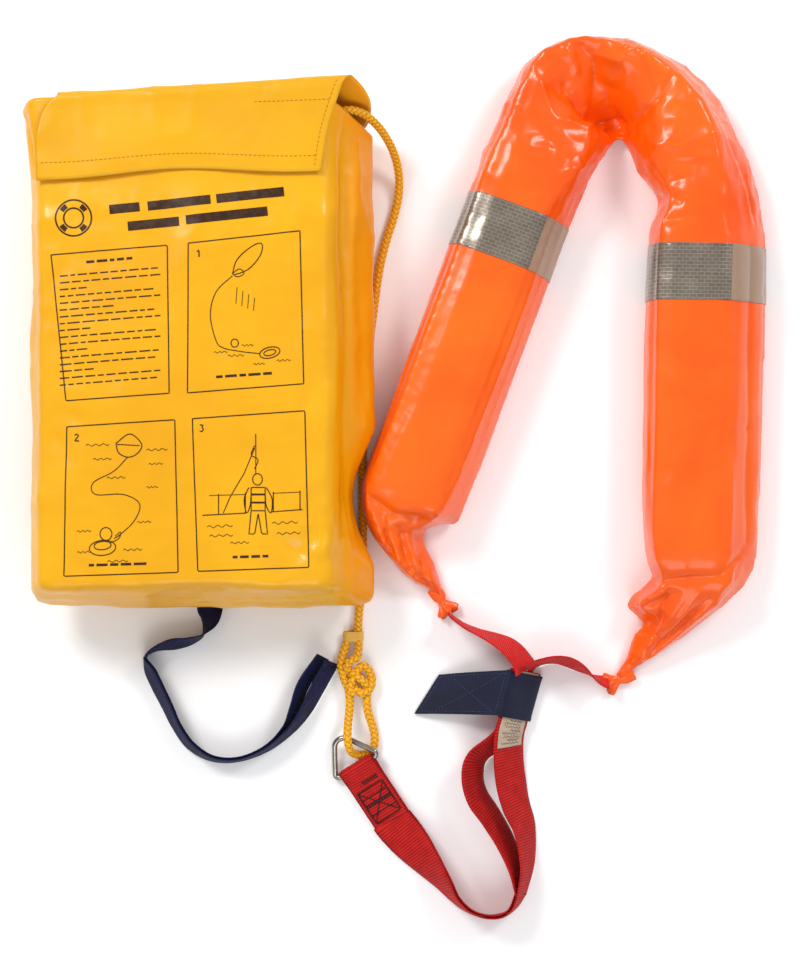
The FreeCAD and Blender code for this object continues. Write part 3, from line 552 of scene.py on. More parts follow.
def ropePiece(name, paths, part=line):
    # one mesh of closed rope lengths
    points, faces, uvs, plaits, start = [], [], [], [], 0
    for path in paths:
        centre, along, surface, plait = ropeSurface(path, part)
        rows, columns = surface.shape[:2]
        around = np.linspace(0, math.pi * part["diameter"], columns + 1)
        points += [surface.reshape(-1, 3), centre[:1], centre[-1:]]
        uvs.append(gridUv(around, along).reshape(-1, 4, 2)[:, ::-1].reshape(-1, 2))
        plaits += [plait.ravel(), np.array([0.6, 0.6])]
        faces.append(gridFaces(rows, columns, closeColumns=True)[:, ::-1] + start)
        first, last = start + rows * columns, start + rows * columns + 1
        j = np.arange(columns)
        ends = np.concatenate([
            np.stack([np.full(columns, first), start + j, start + (j + 1) % columns,
                      start + (j + 1) % columns], 1),
            np.stack([np.full(columns, last), start + (rows - 1) * columns + (j + 1) % columns,
                      start + (rows - 1) * columns + j, start + (rows - 1) * columns + j], 1)])
        faces.append(ends)
        uvs.append(np.zeros((len(ends) * 4, 2)))
        start += rows * columns + 2
    allFaces = np.concatenate(faces)
    allUv = np.concatenate(uvs).reshape(-1, 4, 2)
    mesh = bpy.data.meshes.new(name)
    triangle = allFaces[:, 2] == allFaces[:, 3]
    listed = [face[:3] if three else face for face, three in zip(allFaces.tolist(), triangle.tolist())]
    mesh.from_pydata((np.concatenate(points) * mm).tolist(), [], listed)
    keep = np.ones((len(allFaces), 4), bool)
    keep[triangle, 3] = False
    mesh.uv_layers.new(name="UVMap").data.foreach_set("uv", allUv[keep].ravel())
    # the strands' height also drives the rope's painted shade in its grooves
    mesh.attributes.new("plait", "FLOAT", "POINT").data.foreach_set("value", np.concatenate(plaits))
    mesh.materials.append(paint["rope"])
    shadeFaces(mesh)
    return linkPiece(name, mesh)


linePath = splinePath("linePath", line["route"])
eyePath = splinePath("eyePath", line["eye"])
throwLine = ropePiece("throwLine", [linePath])
lineEye = ropePiece("lineEye", [eyePath])

# the knot: the standing part, the seized end beside it, and the turn that binds them
knot = {
    "standing": [(128, -240, 4.7), (128, -246, 5.5), (128.5, -256, 8), (127, -266, 11.5), (120, -270.5, 11.5),
                 (117.5, -277, 8.5), (123, -283, 6), (131, -288, 5), (136, -296, 6), (136, -306, 8)],
    "seized": [(119.2, -243.5, 5.0), (118.6, -250, 5.5), (115, -261, 6), (112.5, -273, 6), (115, -285, 7),
               (119.2, -295, 8.5), (120.5, -305.5, 9)],
    "turn": [(124, -300, 11.5), (121, -293, 11.8), (124.5, -284, 12), (131, -274, 10.5), (137, -277, 9.5),
             (140.5, -286, 9), (138.5, -295, 10), (131, -298.5, 11.5), (125, -293.5, 9)],
    "bind": [(121, -279, 9), (125, -281.5, 13), (130.5, -285.5, 14.2), (135, -290, 12.5), (137, -294, 8.5)]}
knotPaths = [evenSteps(throughPoints(knot[key], 12), 1.0) for key in ("standing", "seized", "turn", "bind")]
lineKnot = ropePiece("lineKnot", knotPaths)
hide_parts("line_knot")
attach(lineKnot, "laid_kit")

# tape seizing round both ropes: a stadium r + half gap, in wrinkled turns along y
seizing = {"middle": (123.7, -247.5, 5.3), "halfGap": 4.4, "radius": 4.75, "length": 9.5, "around": 56,
           "rows": 20,
           "bulge": 0.05, "wrinkle": 0.03, "ends": 0.8, "flatness": 0.98, "waver": 0.35, "wall": 0.8}


def seizingSurface(part=seizing):
    # a flattened ring: cos and sin scaled by the radius, moved out by half the gap on each side
    angle = np.linspace(0, 2 * math.pi, part["around"], endpoint=False)
    share = np.linspace(-0.5, 0.5, part["rows"])
    bulge = (1 + part["bulge"] * np.cos(math.pi * share[:, None])
             + part["wrinkle"] * np.sin(share[:, None] * 21 + 2 * angle[None, :]))
    bulge[[0, -1]] *= part["ends"]
    x = part["middle"][0] + np.sign(np.cos(angle)) * part["halfGap"] + np.cos(angle) * part["radius"] * bulge
    z = part["middle"][2] + np.sin(angle) * part["radius"] * bulge * part["flatness"]
    y = part["middle"][1] + (share * part["length"])[:, None] + part["waver"] * np.sin(3 * angle)[None, :]
    return np.stack([x, y, z], axis=-1)


seizingGrid = seizingSurface()
lineTape = meshPiece("lineTape", seizingGrid.reshape(-1, 3),
                     gridFaces(*seizingGrid.shape[:2], closeColumns=True)[:, ::-1], paint["whipping"])
thicken(lineTape, seizing["wall"] * mm)
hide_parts("line_end_tape")
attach(lineTape, "laid_kit")

for piece, node in ((throwLine, "throw_line"), (lineEye, "line_eye")):
    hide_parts(node)
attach(throwLine, "laid_kit")
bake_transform(lineEye)
print("throwing line %.0f mm, eye %.0f mm" % (alongDistance(linePath)[-1], alongDistance(eyePath)[-1]))


# ---- sewing
def stitchPiece(name, rows, material, length=2.6, gap=1.3, width=0.75, height=0.5):
    # one rounded stitch repeated along each row; a row is (points, normals) in millimetres
    turn = np.linspace(0, 2 * math.pi, 6, endpoint=False)
    stations = np.array([-0.5, -0.3, 0.3, 0.5])
    swell = np.array([0.35, 1.0, 1.0, 0.35])
    drop = np.array([-0.25, 0.0, 0.0, -0.25])
    points, faces, count = [], [], 0
    shell = gridFaces(4, 6, closeColumns=True)
    caps = np.array([[0, 1, 2, 3], [0, 3, 4, 5], [21, 20, 19, 18], [23, 22, 21, 18]])
    unitFaces = np.concatenate([shell[:, ::-1], caps])
    for path, normals in rows:
        distance = alongDistance(path)
        middles = np.arange(length / 2, distance[-1] - length / 2, length + gap)
        if len(middles) == 0:
            continue
        pick = lambda values, shift=0.0: np.stack(
            [np.interp(middles + shift, distance, values[:, k]) for k in range(3)], axis=1)
        middle, normal = pick(path), unitRows(pick(normals))
        along = unitRows(pick(path, length / 2) - pick(path, -length / 2))
        across = unitRows(np.cross(normal, along))
        ring = (np.cos(turn)[None, :, None] * across[:, None, None, :] * width / 2
                + np.sin(turn)[None, :, None] * normal[:, None, None, :] * height / 2) * swell[None, :, None,
                                                                                               None]
        stretch = along[:, None, None, :] * (stations * length)[None, :, None, None]
        lift = normal[:, None, None, :] * (height * (0.3 + drop))[None, :, None, None]
        block = middle[:, None, None, :] + ring + stretch + lift
        points.append(block.reshape(-1, 3))
        faces.append((unitFaces[None] + (np.arange(len(middles)) * 24)[:, None, None]).reshape(-1, 4) + count)
        count += len(middles) * 24
    return meshPiece(name, np.concatenate(points), np.concatenate(faces), material)


def gridRow(grid, normals, rows, columns):
    # points and normals of a surface at fractional row and column numbers, by linear shares
    rows, columns = np.broadcast_arrays(np.asarray(rows, float), np.asarray(columns, float))
    i = np.clip(np.floor(rows).astype(int), 0, grid.shape[0] - 2)
    j = np.clip(np.floor(columns).astype(int), 0, grid.shape[1] - 2)
    a, b = (rows - i)[:, None], (columns - j)[:, None]
    take = lambda source: ((1 - a) * ((1 - b) * source[i, j] + b * source[i, j + 1])
                           + a * ((1 - b) * source[i + 1, j] + b * source[i + 1, j + 1]))
    return take(grid), unitRows(take(normals))


# ---- the bag
bag = {
    "backWidth": 245.0, "backLength": 410.0, "depth": 106.0, "frontWidth": 248.0, "frontLength": 424.0,
    "lean": (-21.0, 12.0), "bellyHeight": 52.0, "bellyLeft": -158.0, "bellyRight": 145.0,
    "bellyBase": -217.0, "bellyMouth": 198.0, "dent": 18.0, "dentY": -124.0, "dentReach": 60.0,
    "acrossCount": 84, "sideCount": 44, "rows": 146, "crown": 5.0, "edgeRound": 11.0, "wall": 1.1,
    "wrinkle": 2.0, "fineWrinkle": 0.8, "ringBlur": 1.9, "basePuff": 4.0, "baseRipple": 2.4,
    # heights between which the front begins and the relief grows, and where the tongue covers it
    "frontHeights": (96, 105), "reliefHeights": (4, 26), "tongueReach": (128.0, 158.0),
    # half width of the crown, and the heights of the slow swell, the wavy edge and the pleats
    "crownReach": 125, "slowSwell": 2.2, "wavyEdge": 1.6, "pleat": 1.3,
    # how far the corner stands out, the share of the length where it begins, its height and reach
    "ear": (11.0, 0.8, 90.0, 24.0)}


def bagRing(share, part=bag):
    # outline across the bag: straight lines between its edges and pleats, then blurred into folds
    share = np.asarray(share, float)[:, None]
    bellyY = part["bellyBase"] + share * (part["bellyMouth"] - part["bellyBase"])
    away = np.abs(bellyY - part["dentY"]) / part["dentReach"]
    rightBelly = part["bellyRight"] - part["dent"] * np.clip(1 - away * away, 0, None)
    backY = (share - 0.5) * part["backLength"]
    frontY = part["lean"][1] + (share - 0.5) * part["frontLength"]
    back, front = part["backWidth"] / 2, part["frontWidth"] / 2
    lean, top = part["lean"][0], part["depth"]
    pleat = lean + front + 13 + 0 * share
    corners = {
        "backLeft": (-back + 0 * share, backY, 0 * share),
        "backRight": (back + 0 * share, backY, 0 * share),
        "right1": (rightBelly, bellyY, part["bellyHeight"] - 4 + 0 * share),
        "right2": (0.45 * rightBelly + 0.55 * pleat - 3, 0.5 * (bellyY + frontY), 74 + 0 * share),
        "right3": (pleat, 0.2 * bellyY + 0.8 * frontY, 85 + 0 * share),
        "frontRight": (lean + front + 1 + 0 * share, frontY, top + 0 * share),
        "frontLeft": (lean - front + 0 * share, frontY, top + 0 * share),
        "left1": (0.5 * (part["bellyLeft"] + lean - front) - 4 + 0 * share, 0.5 * (bellyY + frontY),
                  80 + 0 * share),
        "left2": (part["bellyLeft"] + 0 * share, bellyY, part["bellyHeight"] + 0 * share)}
    corners = {key: np.concatenate(value, axis=1) for key, value in corners.items()}
    sides = [(("backLeft", "backRight"), part["acrossCount"]),
             (("backRight", "right1", "right2", "right3", "frontRight"), part["sideCount"]),
             (("frontRight", "frontLeft"), part["acrossCount"]),
             (("frontLeft", "left1", "left2", "backLeft"), part["sideCount"])]
    pieces = []
    for names, count in sides:
        stops = np.stack([corners[n] for n in names], axis=1)
        lengths = np.linalg.norm(np.diff(stops[len(stops) // 2], axis=0), axis=1)
        marks = np.concatenate([[0], np.cumsum(lengths)]) / lengths.sum()
        wanted = np.arange(count) / count
        span = np.clip(np.searchsorted(marks, wanted, side="right") - 1, 0, len(lengths) - 1)
        between = ((wanted - marks[span]) / (marks[span + 1] - marks[span]))[None, :, None]
        pieces.append(stops[:, span] * (1 - between) + stops[:, span + 1] * between)
    return blurRing(np.concatenate(pieces, axis=1), part["ringBlur"])


# creases pressed into the front and sides: x, y of both ends, width, depth (minus stands proud)
bagCreases = [
    (98, -178, 60, -158, 7, 2.6), (104, -160, 84, -176, 6, -2.4), (70, -186, 30, -176, 9, 2.0),
    (-128, -168, -100, -190, 9, 2.2), (-60, -192, -88, -170, 8, 1.6), (92, 60, 70, 20, 9, 1.4),
    (96, -20, 78, -60, 8, 1.5), (60, 150, 82, 118, 7, 1.8), (40, 152, 52, 128, 6, -1.5),
    (-140, 60, -118, 84, 8, 1.4), (-138, -60, -120, -84, 8, 1.4), (-20, 60, 30, 84, 14, 1.0),
    (-110, -20, -60, -2, 15, 1.0), (20, -90, 70, -70, 12, 1.2), (-130, 130, -96, 116, 8, 1.4),
    (88, 110, 66, 90, 7, 1.4), (-40, -110, -20, -150, 12, 1.1), (100, -110, 84, -135, 7, 1.7),
    (-36, 150, -20, -180, 16, 1.6), (-8, 140, -24, 60, 9, -1.0), (88, -30, 92, -160, 6, 1.6),
    (-136, 100, -134, -120, 6, 1.3), (66, 150, 40, 112, 8, 1.8), (20, 150, -6, 138, 8, 1.2),
    (-128, 10, -116, -6, 7, 1.6), (-126, -48, -100, -56, 6, 1.3), (60, -190, 100, -140, 8, 2.0)]

# long folds down the gussets and across the right one's foot, in the same form
gussetCreases = [
    (117, 196, 119, 60, 3.6, 5.0), (119, 60, 118, -150, 3.4, 3.6), (127, 190, 126, 110, 5, -2.2),
    (134, 120, 132, -40, 7, 2.0), (124, -60, 128, -176, 5, 2.4), (110, 150, 108, -160, 3.6, -1.4),
    (-151, 206, -151, 158, 3.4, 9.0), (136, 60, 140, -60, 5, -1.6), (106, -170, 138, -186, 6, 2.2),
                 (-152, 120, -150, -120, 4, 1.8)]


def creaseDepth(points, creases, power=2.0):
    # sum of depth * exp(-(distance to the line / width)^power), fading out past its ends; a power
    # near 1 makes a sharp fold
    total = np.zeros(points.shape[:-1])
    for x0, y0, x1, y1, width, depth in creases:
        start, run = np.array([x0, y0], float), np.array([x1 - x0, y1 - y0], float)
        t = ((points[..., :2] - start) @ run) / (run @ run)
        inside = np.clip(t, 0, 1)
        away = np.linalg.norm(points[..., :2] - start - inside[..., None] * run, axis=-1)
        taper = 0.35 + 0.65 * np.sin(math.pi * np.clip(inside, 0.08, 0.92))
        total += depth * taper * np.exp(-(away / width) ** power)
    return total


def bagSurface(part=bag):
    # the outline at every share of the length, turned over at the base, then moved along its
    # normals by crown, wrinkles, pleats and creases
    share = np.linspace(0, 1, part["rows"])
    grid = bagRing(share)
    middle = grid.mean(axis=1, keepdims=True)
    # the base edge turns over on a quarter circle: inset = r - sqrt(r^2 - (r - d)^2)
    distance = share * part["frontLength"]
    r = part["edgeRound"]
    left = np.clip(r - distance, 0, r)
    inset = (r - np.sqrt(np.clip(r * r - left * left, 0, None)))[:, None, None]
    inward = unitRows((middle - grid) * np.array([1, 0, 1.0]))
    grid = grid + inward * inset
    # the full bag stands crowned in the middle of its front
    swell = (np.clip(1 - ((grid[..., 0] - part["lean"][0]) / part["crownReach"]) ** 2, 0, 1)
             * np.clip(np.sin(math.pi * (share[:, None] * 0.86 + 0.1)), 0, 1))
    frontShare = easeStep(*part["frontHeights"], grid[..., 2])
    underTongue = 1 - 0.85 * easeStep(*part["tongueReach"], grid[..., 1]) * frontShare
    grid[..., 2] += part["crown"] * swell * frontShare * underTongue
    normals = gridNormals(grid, True)
    normals *= np.sign(np.sum(normals * (grid - middle), axis=-1).mean())
    lift = easeStep(*part["reliefHeights"], grid[..., 2])
    wrinkle = (part["wrinkle"] * (foldNoise(grid * np.array([1, 0.6, 1]), 46, 11, 2.2) - 0.45)
               + part["fineWrinkle"] * (foldNoise(grid, 17, 5, 2.0) - 0.45)
               + part["slowSwell"] * (latticeNoise(grid * np.array([1, 0.5, 1]), 75, 3) - 0.5))
    wavyEdge = part["wavyEdge"] * (latticeNoise(grid, 30, 8) - 0.5) * (1 - frontShare)
    creases = creaseDepth(grid, bagCreases) * frontShare + creaseDepth(grid, gussetCreases) * (1 - frontShare)
    # long vertical pleats down the gussets
    pleats = part["pleat"] * (foldNoise(grid * np.array([3.2, 0.16, 3.2]), 52, 21,
                                        2.5) - 0.4) * (1 - frontShare)
    relief = (wrinkle + wavyEdge + pleats - creases) * lift * underTongue
    grid = grid + normals * relief[..., None]
    # the left gusset's mouth corner stands out beyond the tongue
    out, begins, height, reach = part["ear"]
    ear = easeStep(begins, 1.0, share)[:, None] * np.exp(-((grid[..., 2] - height) / reach) ** 2)
    grid[..., 0] -= out * ear * easeStep(-100, -135, grid[..., 0])
    return grid


def basePatch(ring, part=bag):
    # Coons patch inside the ring: sum of the two ruled surfaces less the corner one, swollen
    # outwards by the puff and its ripple times powers of sin(pi u) and sin(pi v)
    n, m = part["acrossCount"], part["sideCount"]
    closed = np.concatenate([ring, ring[:1]])
    back, right = closed[:n + 1], closed[n:n + m + 1]
    front, left = closed[n + m:2 * n + m + 1][::-1], closed[2 * n + m:][::-1]
    u = np.linspace(0, 1, n + 1)[:, None, None]
    v = np.linspace(0, 1, m + 1)[None, :, None]
    ruled1 = (1 - v) * back[:, None] + v * front[:, None]
    ruled2 = (1 - u) * left[None] + u * right[None]
    corner = ((1 - u) * (1 - v) * back[0] + u * (1 - v) * back[-1]
              + (1 - u) * v * front[0] + u * v * front[-1])
    patch = ruled1 + ruled2 - corner
    bulge = np.sin(math.pi * u[..., 0]) ** 0.5 * np.sin(math.pi * v[..., 0]) ** 0.6
    ripple = part["baseRipple"] * (foldNoise(patch * np.array([1, 0, 0.8]), 34, 9, 2.0) - 0.4)
    patch[..., 1] -= bulge * (part["basePuff"] + ripple)
    return patch


bagGrid = bagSurface()
patchGrid = basePatch(bagGrid[0])
bagFaces = gridFaces(*bagGrid.shape[:2], closeColumns=True)
patchFaces = gridFaces(*patchGrid.shape[:2]) + bagGrid.shape[0] * bagGrid.shape[1]
# the wall's inner faces take slot 1, the painted shade copy of the PVC
bagShell = meshPiece("bagShell", np.concatenate([bagGrid.reshape(-1, 3), patchGrid.reshape(-1, 3)]),
                     np.concatenate([bagFaces, patchFaces]), [paint["bag"], paint["shadedInside"]])
mergeDoubles(bagShell)
thicken(bagShell, bag["wall"] * mm, -1.0, 1)
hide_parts("bag_back_panel", "bag_front_panel", "bag_base_panel", "bag_left_gusset",
            "bag_right_gusset")
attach(bagShell, "laid_kit")
print("bag shell")

# ---- lid and tongue: one surface, parted at the fold; the lid half rides on the lid's body
lid = {
    "across": 86, "spanSteps": 12, "wall": 1.3,
    # left x, right x, left y, right y, height of each control row from hinge to free edge
    "rows": [(-122, 122, 206.0, 206.0, 1.6), (-129, 137, 212, 213, 30), (-134, 140, 221, 228, 66),
             (-131, 128, 227, 241, 96), (-127.5, 119.5, 226.5, 241.0, 108.9), (-141, 112, 213, 222, 109.8),
             (-147, 104, 190, 195, 110.2), (-147, 98, 152, 160, 110.0)],
    "foldRow": 4, "wave": 2.0, "edgeRise": 4.6, "foldWave": 1.2, "fall": 0.9,
    # stitches: steps across and down, and the length of the short row
    "sewAcross": 160, "sewDown": 60, "shortRow": 24}


def lidSurface(part=lid):
    # straight lines between the left and right ends of each control row, joined by smooth curves
    a = np.linspace(0, 1, part["across"])
    rows = np.array(part["rows"], float)
    left = np.stack([rows[:, 0], rows[:, 2], rows[:, 4]], axis=1)
    right = np.stack([rows[:, 1], rows[:, 3], rows[:, 4]], axis=1)
    control = left[:, None] * (1 - a[None, :, None]) + right[:, None] * a[None, :, None]
    edge = part["edgeRise"] * (np.sin(math.pi * a) - 0.34 * np.sin(3 * math.pi * a))
    control[-1, :, 1] += edge
    control[-2, :, 1] += edge * 0.5
    flat = control.reshape(len(rows), -1)
    grid = throughPoints(flat, part["spanSteps"]).reshape(-1, part["across"], 3)
    normals = gridNormals(grid)
    if normals[-3, 40, 2] < 0:
        normals = -normals
    fold = part["foldRow"] * part["spanSteps"]
    row = np.arange(len(grid))[:, None]
    away = np.clip(np.abs(row - fold) / 6.0, 0.15, 1)
    hinge = np.clip(row / 8.0, 0, 1)
    bumps = (part["wave"] * (latticeNoise(grid, 40, 31) - 0.5) + part["foldWave"] * (foldNoise(grid, 30, 33,
                                                                                               2.2) - 0.4))
    fall = part["fall"] * easeStep(fold + 20, len(grid), row) * np.sin(9 * a)[None, :]
    bumps = np.where(row > fold, np.clip(bumps, -0.4, 2.5), bumps)
    return grid + normals * (bumps * away * hinge + fall)[..., None], fold


# the surface parts at the fold row into the lid and the tongue
lidGrid, foldAt = lidSurface()
parts = {"lidSheet": lidGrid[:foldAt + 1], "tongueSheet": lidGrid[foldAt:]}
lidPieces = {}
for name, grid in parts.items():
    faces = gridFaces(*grid.shape[:2])[:, ::-1]
    # the underside takes slot 1, the painted shade copy of the PVC
    piece = meshPiece(name, grid.reshape(-1, 3), faces, [paint["lid"], paint["shadedInside"]])
    lidPieces[name] = thicken(piece, lid["wall"] * mm, -1.0, 1)
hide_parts("bag_lid")
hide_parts("flap_tongue")
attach(lidPieces["lidSheet"], "lid")
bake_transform(lidPieces["tongueSheet"])

tongueGrid = parts["tongueSheet"]
tongueNormals = gridNormals(tongueGrid)
if tongueNormals[8, 40, 2] < 0:
    tongueNormals = -tongueNormals
lastRow, lastColumn = tongueGrid.shape[0] - 1, tongueGrid.shape[1] - 1
acrossRun = np.linspace(1.5, lastColumn - 1.5, lid["sewAcross"])
downRun = np.linspace(2, lastRow - 1.5, lid["sewDown"])
shortRun = np.linspace(lastColumn - lid["shortRow"], lastColumn - 2, lid["sewDown"])
tongueRows = [gridRow(tongueGrid, tongueNormals, lastRow - 4.5, acrossRun),
              gridRow(tongueGrid, tongueNormals, 12.0, shortRun),
              gridRow(tongueGrid, tongueNormals, downRun, lastColumn - 2.2)]
tongueStitches = stitchPiece("tongueStitches", tongueRows, paint["goldThread"])
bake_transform(tongueStitches)
print("lid and tongue")

# ---- the tapes and the ring keep their CAD shapes
for node, material in (("flap_hook_tape", "hookTape"), ("front_loop_tape", "hookTape"),
                       ("delta_ring", "steel")):
    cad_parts[node].data.materials.clear()
    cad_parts[node].data.materials.append(paint[material])

# ---- the line's pocket and the line flaked inside
pocket = {"x": (-114, 105), "y": (-188, 110), "height": 61.0, "columns": 60, "rows": 80, "sag": 2.0,
          "mouth": 4.0,
          "wall": 1.1}


def pocketSurface(part=pocket):
    # a flat panel, z = height + noise, with its mouth edge drawn in
    x = np.linspace(*part["x"], part["columns"])[None, :] + np.zeros((part["rows"], 1))
    y = np.linspace(*part["y"], part["rows"])[:, None] + np.zeros((1, part["columns"]))
    grid = np.stack([x, y, np.full_like(x, part["height"])], axis=-1)
    share = np.linspace(0, 1, part["rows"])[:, None]
    grid[..., 2] += part["sag"] * (foldNoise(grid, 45, 51, 2.0) - 0.5) - part["mouth"] * share ** 6
    return grid


pocketGrid = pocketSurface()
# the whole pocket panel takes the painted shade copy of the PVC
linePocket = meshPiece("linePocket", pocketGrid.reshape(-1, 3), gridFaces(*pocketGrid.shape[:2]),
                       paint["shadedInside"])
thicken(linePocket, pocket["wall"] * mm)
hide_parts("line_pocket")
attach(linePocket, "laid_kit")

# the stowed length lies in flakes: x = a sin t, y climbs by about two rope widths at each turn
flakes = {"turns": 15, "reach": 98.0, "start": -180.0, "end": 56.0, "layers": (10.5, 20.5, 31.0, 41.5),
          "around": 10, "step": 2.8, "points": 1600, "middle": -4, "sway": 5, "waver": 3.0}
flakePart = dict(line, around=flakes["around"], step=flakes["step"], relief=0.1)
flakePaths = []
for level, height in enumerate(flakes["layers"]):
    t = np.linspace(0, flakes["turns"] * 2 * math.pi, flakes["points"])
    slip = np.stack([t * 3, np.full_like(t, level * 50.0), 0 * t], axis=1)
    x = flakes["middle"] + flakes["reach"] * np.sin(t + level) * (0.93 + 0.07 * latticeNoise(slip, 9, 7))
    y = flakes["start"] + (flakes["end"] - flakes["start"]) * t / t[-1] + flakes["sway"] * np.sin(2 * t)
    z = height + flakes["waver"] * (latticeNoise(slip, 5, 13) - 0.5)
    flakePaths.append(np.stack([x, y, z], axis=1))
stowedLine = ropePiece("stowedLine", flakePaths, flakePart)
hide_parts("stowed_line")
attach(stowedLine, "laid_kit")
print("stowed line")


# ---- printed pictures and generic text bars on the bag's front
inkLines = {"box": 1.0, "lift": 0.25, "step": 2.0, "above": 130.0, "column": 1.4, "word": (4, 11), "gap": 2.2}


def strokePiece(name, strokes, lift):
    # each stroke is a polyline with a width, laid as a flat ribbon and pressed on to the bag:
    # path + sideways * width * share, with share from -0.5 to 0.5
    points, faces, start = [], [], 0
    for width, path in strokes:
        path = evenSteps(np.asarray(path, float), inkLines["step"], 2)
        along = unitRows(np.gradient(path, axis=0))
        sideways = np.stack([-along[:, 1], along[:, 0]], axis=1) * width
        share = np.linspace(-0.5, 0.5, max(2, int(width / inkLines["column"])))
        strip = path[:, None] + sideways[:, None] * share[None, :, None]
        rows, columns = strip.shape[:2]
        points.append(np.concatenate([strip, np.full((rows, columns, 1), inkLines["above"])],
                                     axis=2).reshape(-1, 3))
        faces.append(gridFaces(rows, columns)[:, ::-1] + start)
        start += rows * columns
    piece = meshPiece(name, np.concatenate(points), np.concatenate(faces), paint["ink"])
    press = piece.modifiers.new("press", "SHRINKWRAP")
    press.target = bagShell
    press.wrap_method = "PROJECT"
    press.use_project_z = True
    press.use_negative_direction = True
    press.use_positive_direction = False
    press.offset = lift * mm
    return finishedMesh(piece)


def arcPath(centre, radii, start=0.0, end=360.0, turn=0.0, count=40):
    # ellipse x = a cos t, y = b sin t, turned about its centre
    t = np.radians(np.linspace(start, end, count))
    x, y = radii[0] * np.cos(t), radii[1] * np.sin(t)
    c, s = math.cos(math.radians(turn)), math.sin(math.radians(turn))
    return np.stack([centre[0] + c * x - s * y, centre[1] + s * x + c * y], axis=1)


def smoothPath(points):
    # Catmull-Rom curve through a drawing's points
    return throughPoints(np.asarray(points, float), 8)


def wavePath(x, y, length, count=3, rise=1.2, tilt=0.06):
    # water: rise * sin(2 pi * count * t) along a tilted line
    t = np.linspace(0, 1, 14)
    return np.stack([x + length * t, y + rise * np.sin(count * 2 * math.pi * t) + tilt * length * t], axis=1)


def barRows(left, right, top, bottom, rows, tilt, seed, width=1.5):
    # broken bars in place of lines of text; the gaps are random from a fixed seed
    draw = np.random.RandomState(seed)
    strokes = []
    for i in range(rows):
        y = top + (bottom - top) * i / max(rows - 1, 1)
        x, end = left, right if i % 3 != 2 else left + (right - left) * draw.uniform(0.25, 0.6)
        while x < end - 4:
            word = min(draw.uniform(*inkLines["word"]), end - x)
            strokes.append((width, [(x, y + tilt * (x - left)), (x + word, y + tilt * (x + word - left))]))
            x += word + inkLines["gap"]
    return strokes


def frameBox(corners):
    # closed outline through four corners
    return (inkLines["box"], np.array(list(corners) + [corners[0]], float))


def digitPath(digit, x, y, size=6.0):
    # a plain step number: its unit strokes times the size, moved to x and y
    shapes = {1: [(0.1, 0.75), (0.4, 1), (0.4, 0)], 2: [(0, 0.8), (0.3, 1), (0.6, 0.78), (0, 0), (0.65, 0)],
              3: [(0, 0.95), (0.55, 0.95), (0.25, 0.58), (0.6, 0.35), (0.3, 0), (0, 0.1)]}
    return (1.1, np.array(shapes[digit]) * size + np.array([x, y]))


strokes = []
# title bars and a plain ring-buoy sign stand in for the maker's title and mark
for (x0, y0), (x1, y1) in [((-84, 127), (-58, 129.5)), ((-51, 130), (3, 136)), ((8, 136.5), (66, 143)),
                           ((-68, 112.5), (-24, 117)), ((-18, 118), (52, 126))]:
    strokes.append((8.0, [(x0, y0), (x1, y1)]))
for radius in (15.5, 8.5):
    strokes.append((1.4, arcPath((-115, 120), (radius, radius))))
for turn in (45, 135, 225, 315):
    strokes.append((4.2, arcPath((-115, 120), (12, 12), turn - 14, turn + 14, count=8)))
# instruction panel
strokes.append(frameBox([(-134.7, 88.3), (-34, 96.2), (-32.5, -31), (-121.6, -37.4)]))
strokes += barRows(-104, -62, 82, 82, 1, 0.08, 1, 2.2)
strokes += barRows(-127, -40, 70, -24, 17, 0.08, 2, 1.15)
# picture 1: boat, line and ring
strokes += [
    frameBox([(-15.8, 97.8), (79.8, 109), (83.2, -22.8), (-16.7, -30.7)]),
    digitPath(1, -9, 86),
    (0.9, smoothPath([(22, 72), (26, 84), (38, 95), (47, 98), (46, 88), (36, 76), (24, 71), (22, 72)])),
    (0.8, smoothPath([(22, 72), (28, 76), (32, 72), (26, 69), (22, 72)])),
    (0.8, smoothPath([(22, 70), (8, 56), (3, 36), (8, 14), (14, 8), (28, 5), (46, 3)])),
    (0.9, arcPath((54, 4), (9, 4.6), turn=14)),
    (0.9, arcPath((54, 4), (5.5, 2.4), turn=14)),
    (0.9, arcPath((24, 12), (3.2, 3.6)))]
strokes += [(0.6, wavePath(*w)) for w in [(6, 4, 12), (18, 1, 14), (30, 10, 10), (60, -3, 12), (40, -6, 10)]]
strokes += [(0.6, [(26 + 5 * i, 60 - 3 * i), (25 + 5 * i, 46 - 2 * i)]) for i in range(4)]
strokes += barRows(8, 60, -17, -17, 1, 0.07, 5, 2.2)
# picture 2: boat, slack line and swimmer
strokes += [
    frameBox([(-120.9, -59.8), (-27.6, -53.8), (-25, -185.1), (-123.5, -188.5)]),
    digitPath(2, -114, -72),
    (0.9, smoothPath([(-78, -74), (-66, -66), (-56, -75), (-60, -83), (-68, -86), (-76, -82), (-78, -74)])),
    (0.8, [(-77, -75), (-58, -76)]),
    (0.8, smoothPath([(-68, -86), (-80, -98), (-98, -108), (-96, -118), (-72, -118), (-58, -126),
                      (-62, -140), (-74, -152), (-80, -156)])),
    (0.9, arcPath((-87, -152), (5.2, 5.6))),
    (0.9, arcPath((-90, -164), (11.5, 6.5), turn=6)),
    (0.9, arcPath((-90, -162), (7.5, 3.6), turn=6)),
    (0.8, smoothPath([(-84, -160), (-76, -156), (-74, -150), (-79, -154)]))]
strokes += [(0.6, wavePath(*w)) for w in [(-104, -76, 20), (-52, -80, 18), (-98, -88, 16), (-50, -92, 12),
                                          (-86, -104, 16), (-52, -112, 10), (-112, -150, 12), (-72, -166, 16),
                                          (-112, -168, 12), (-60, -142, 12), (-86, -176, 18)]]
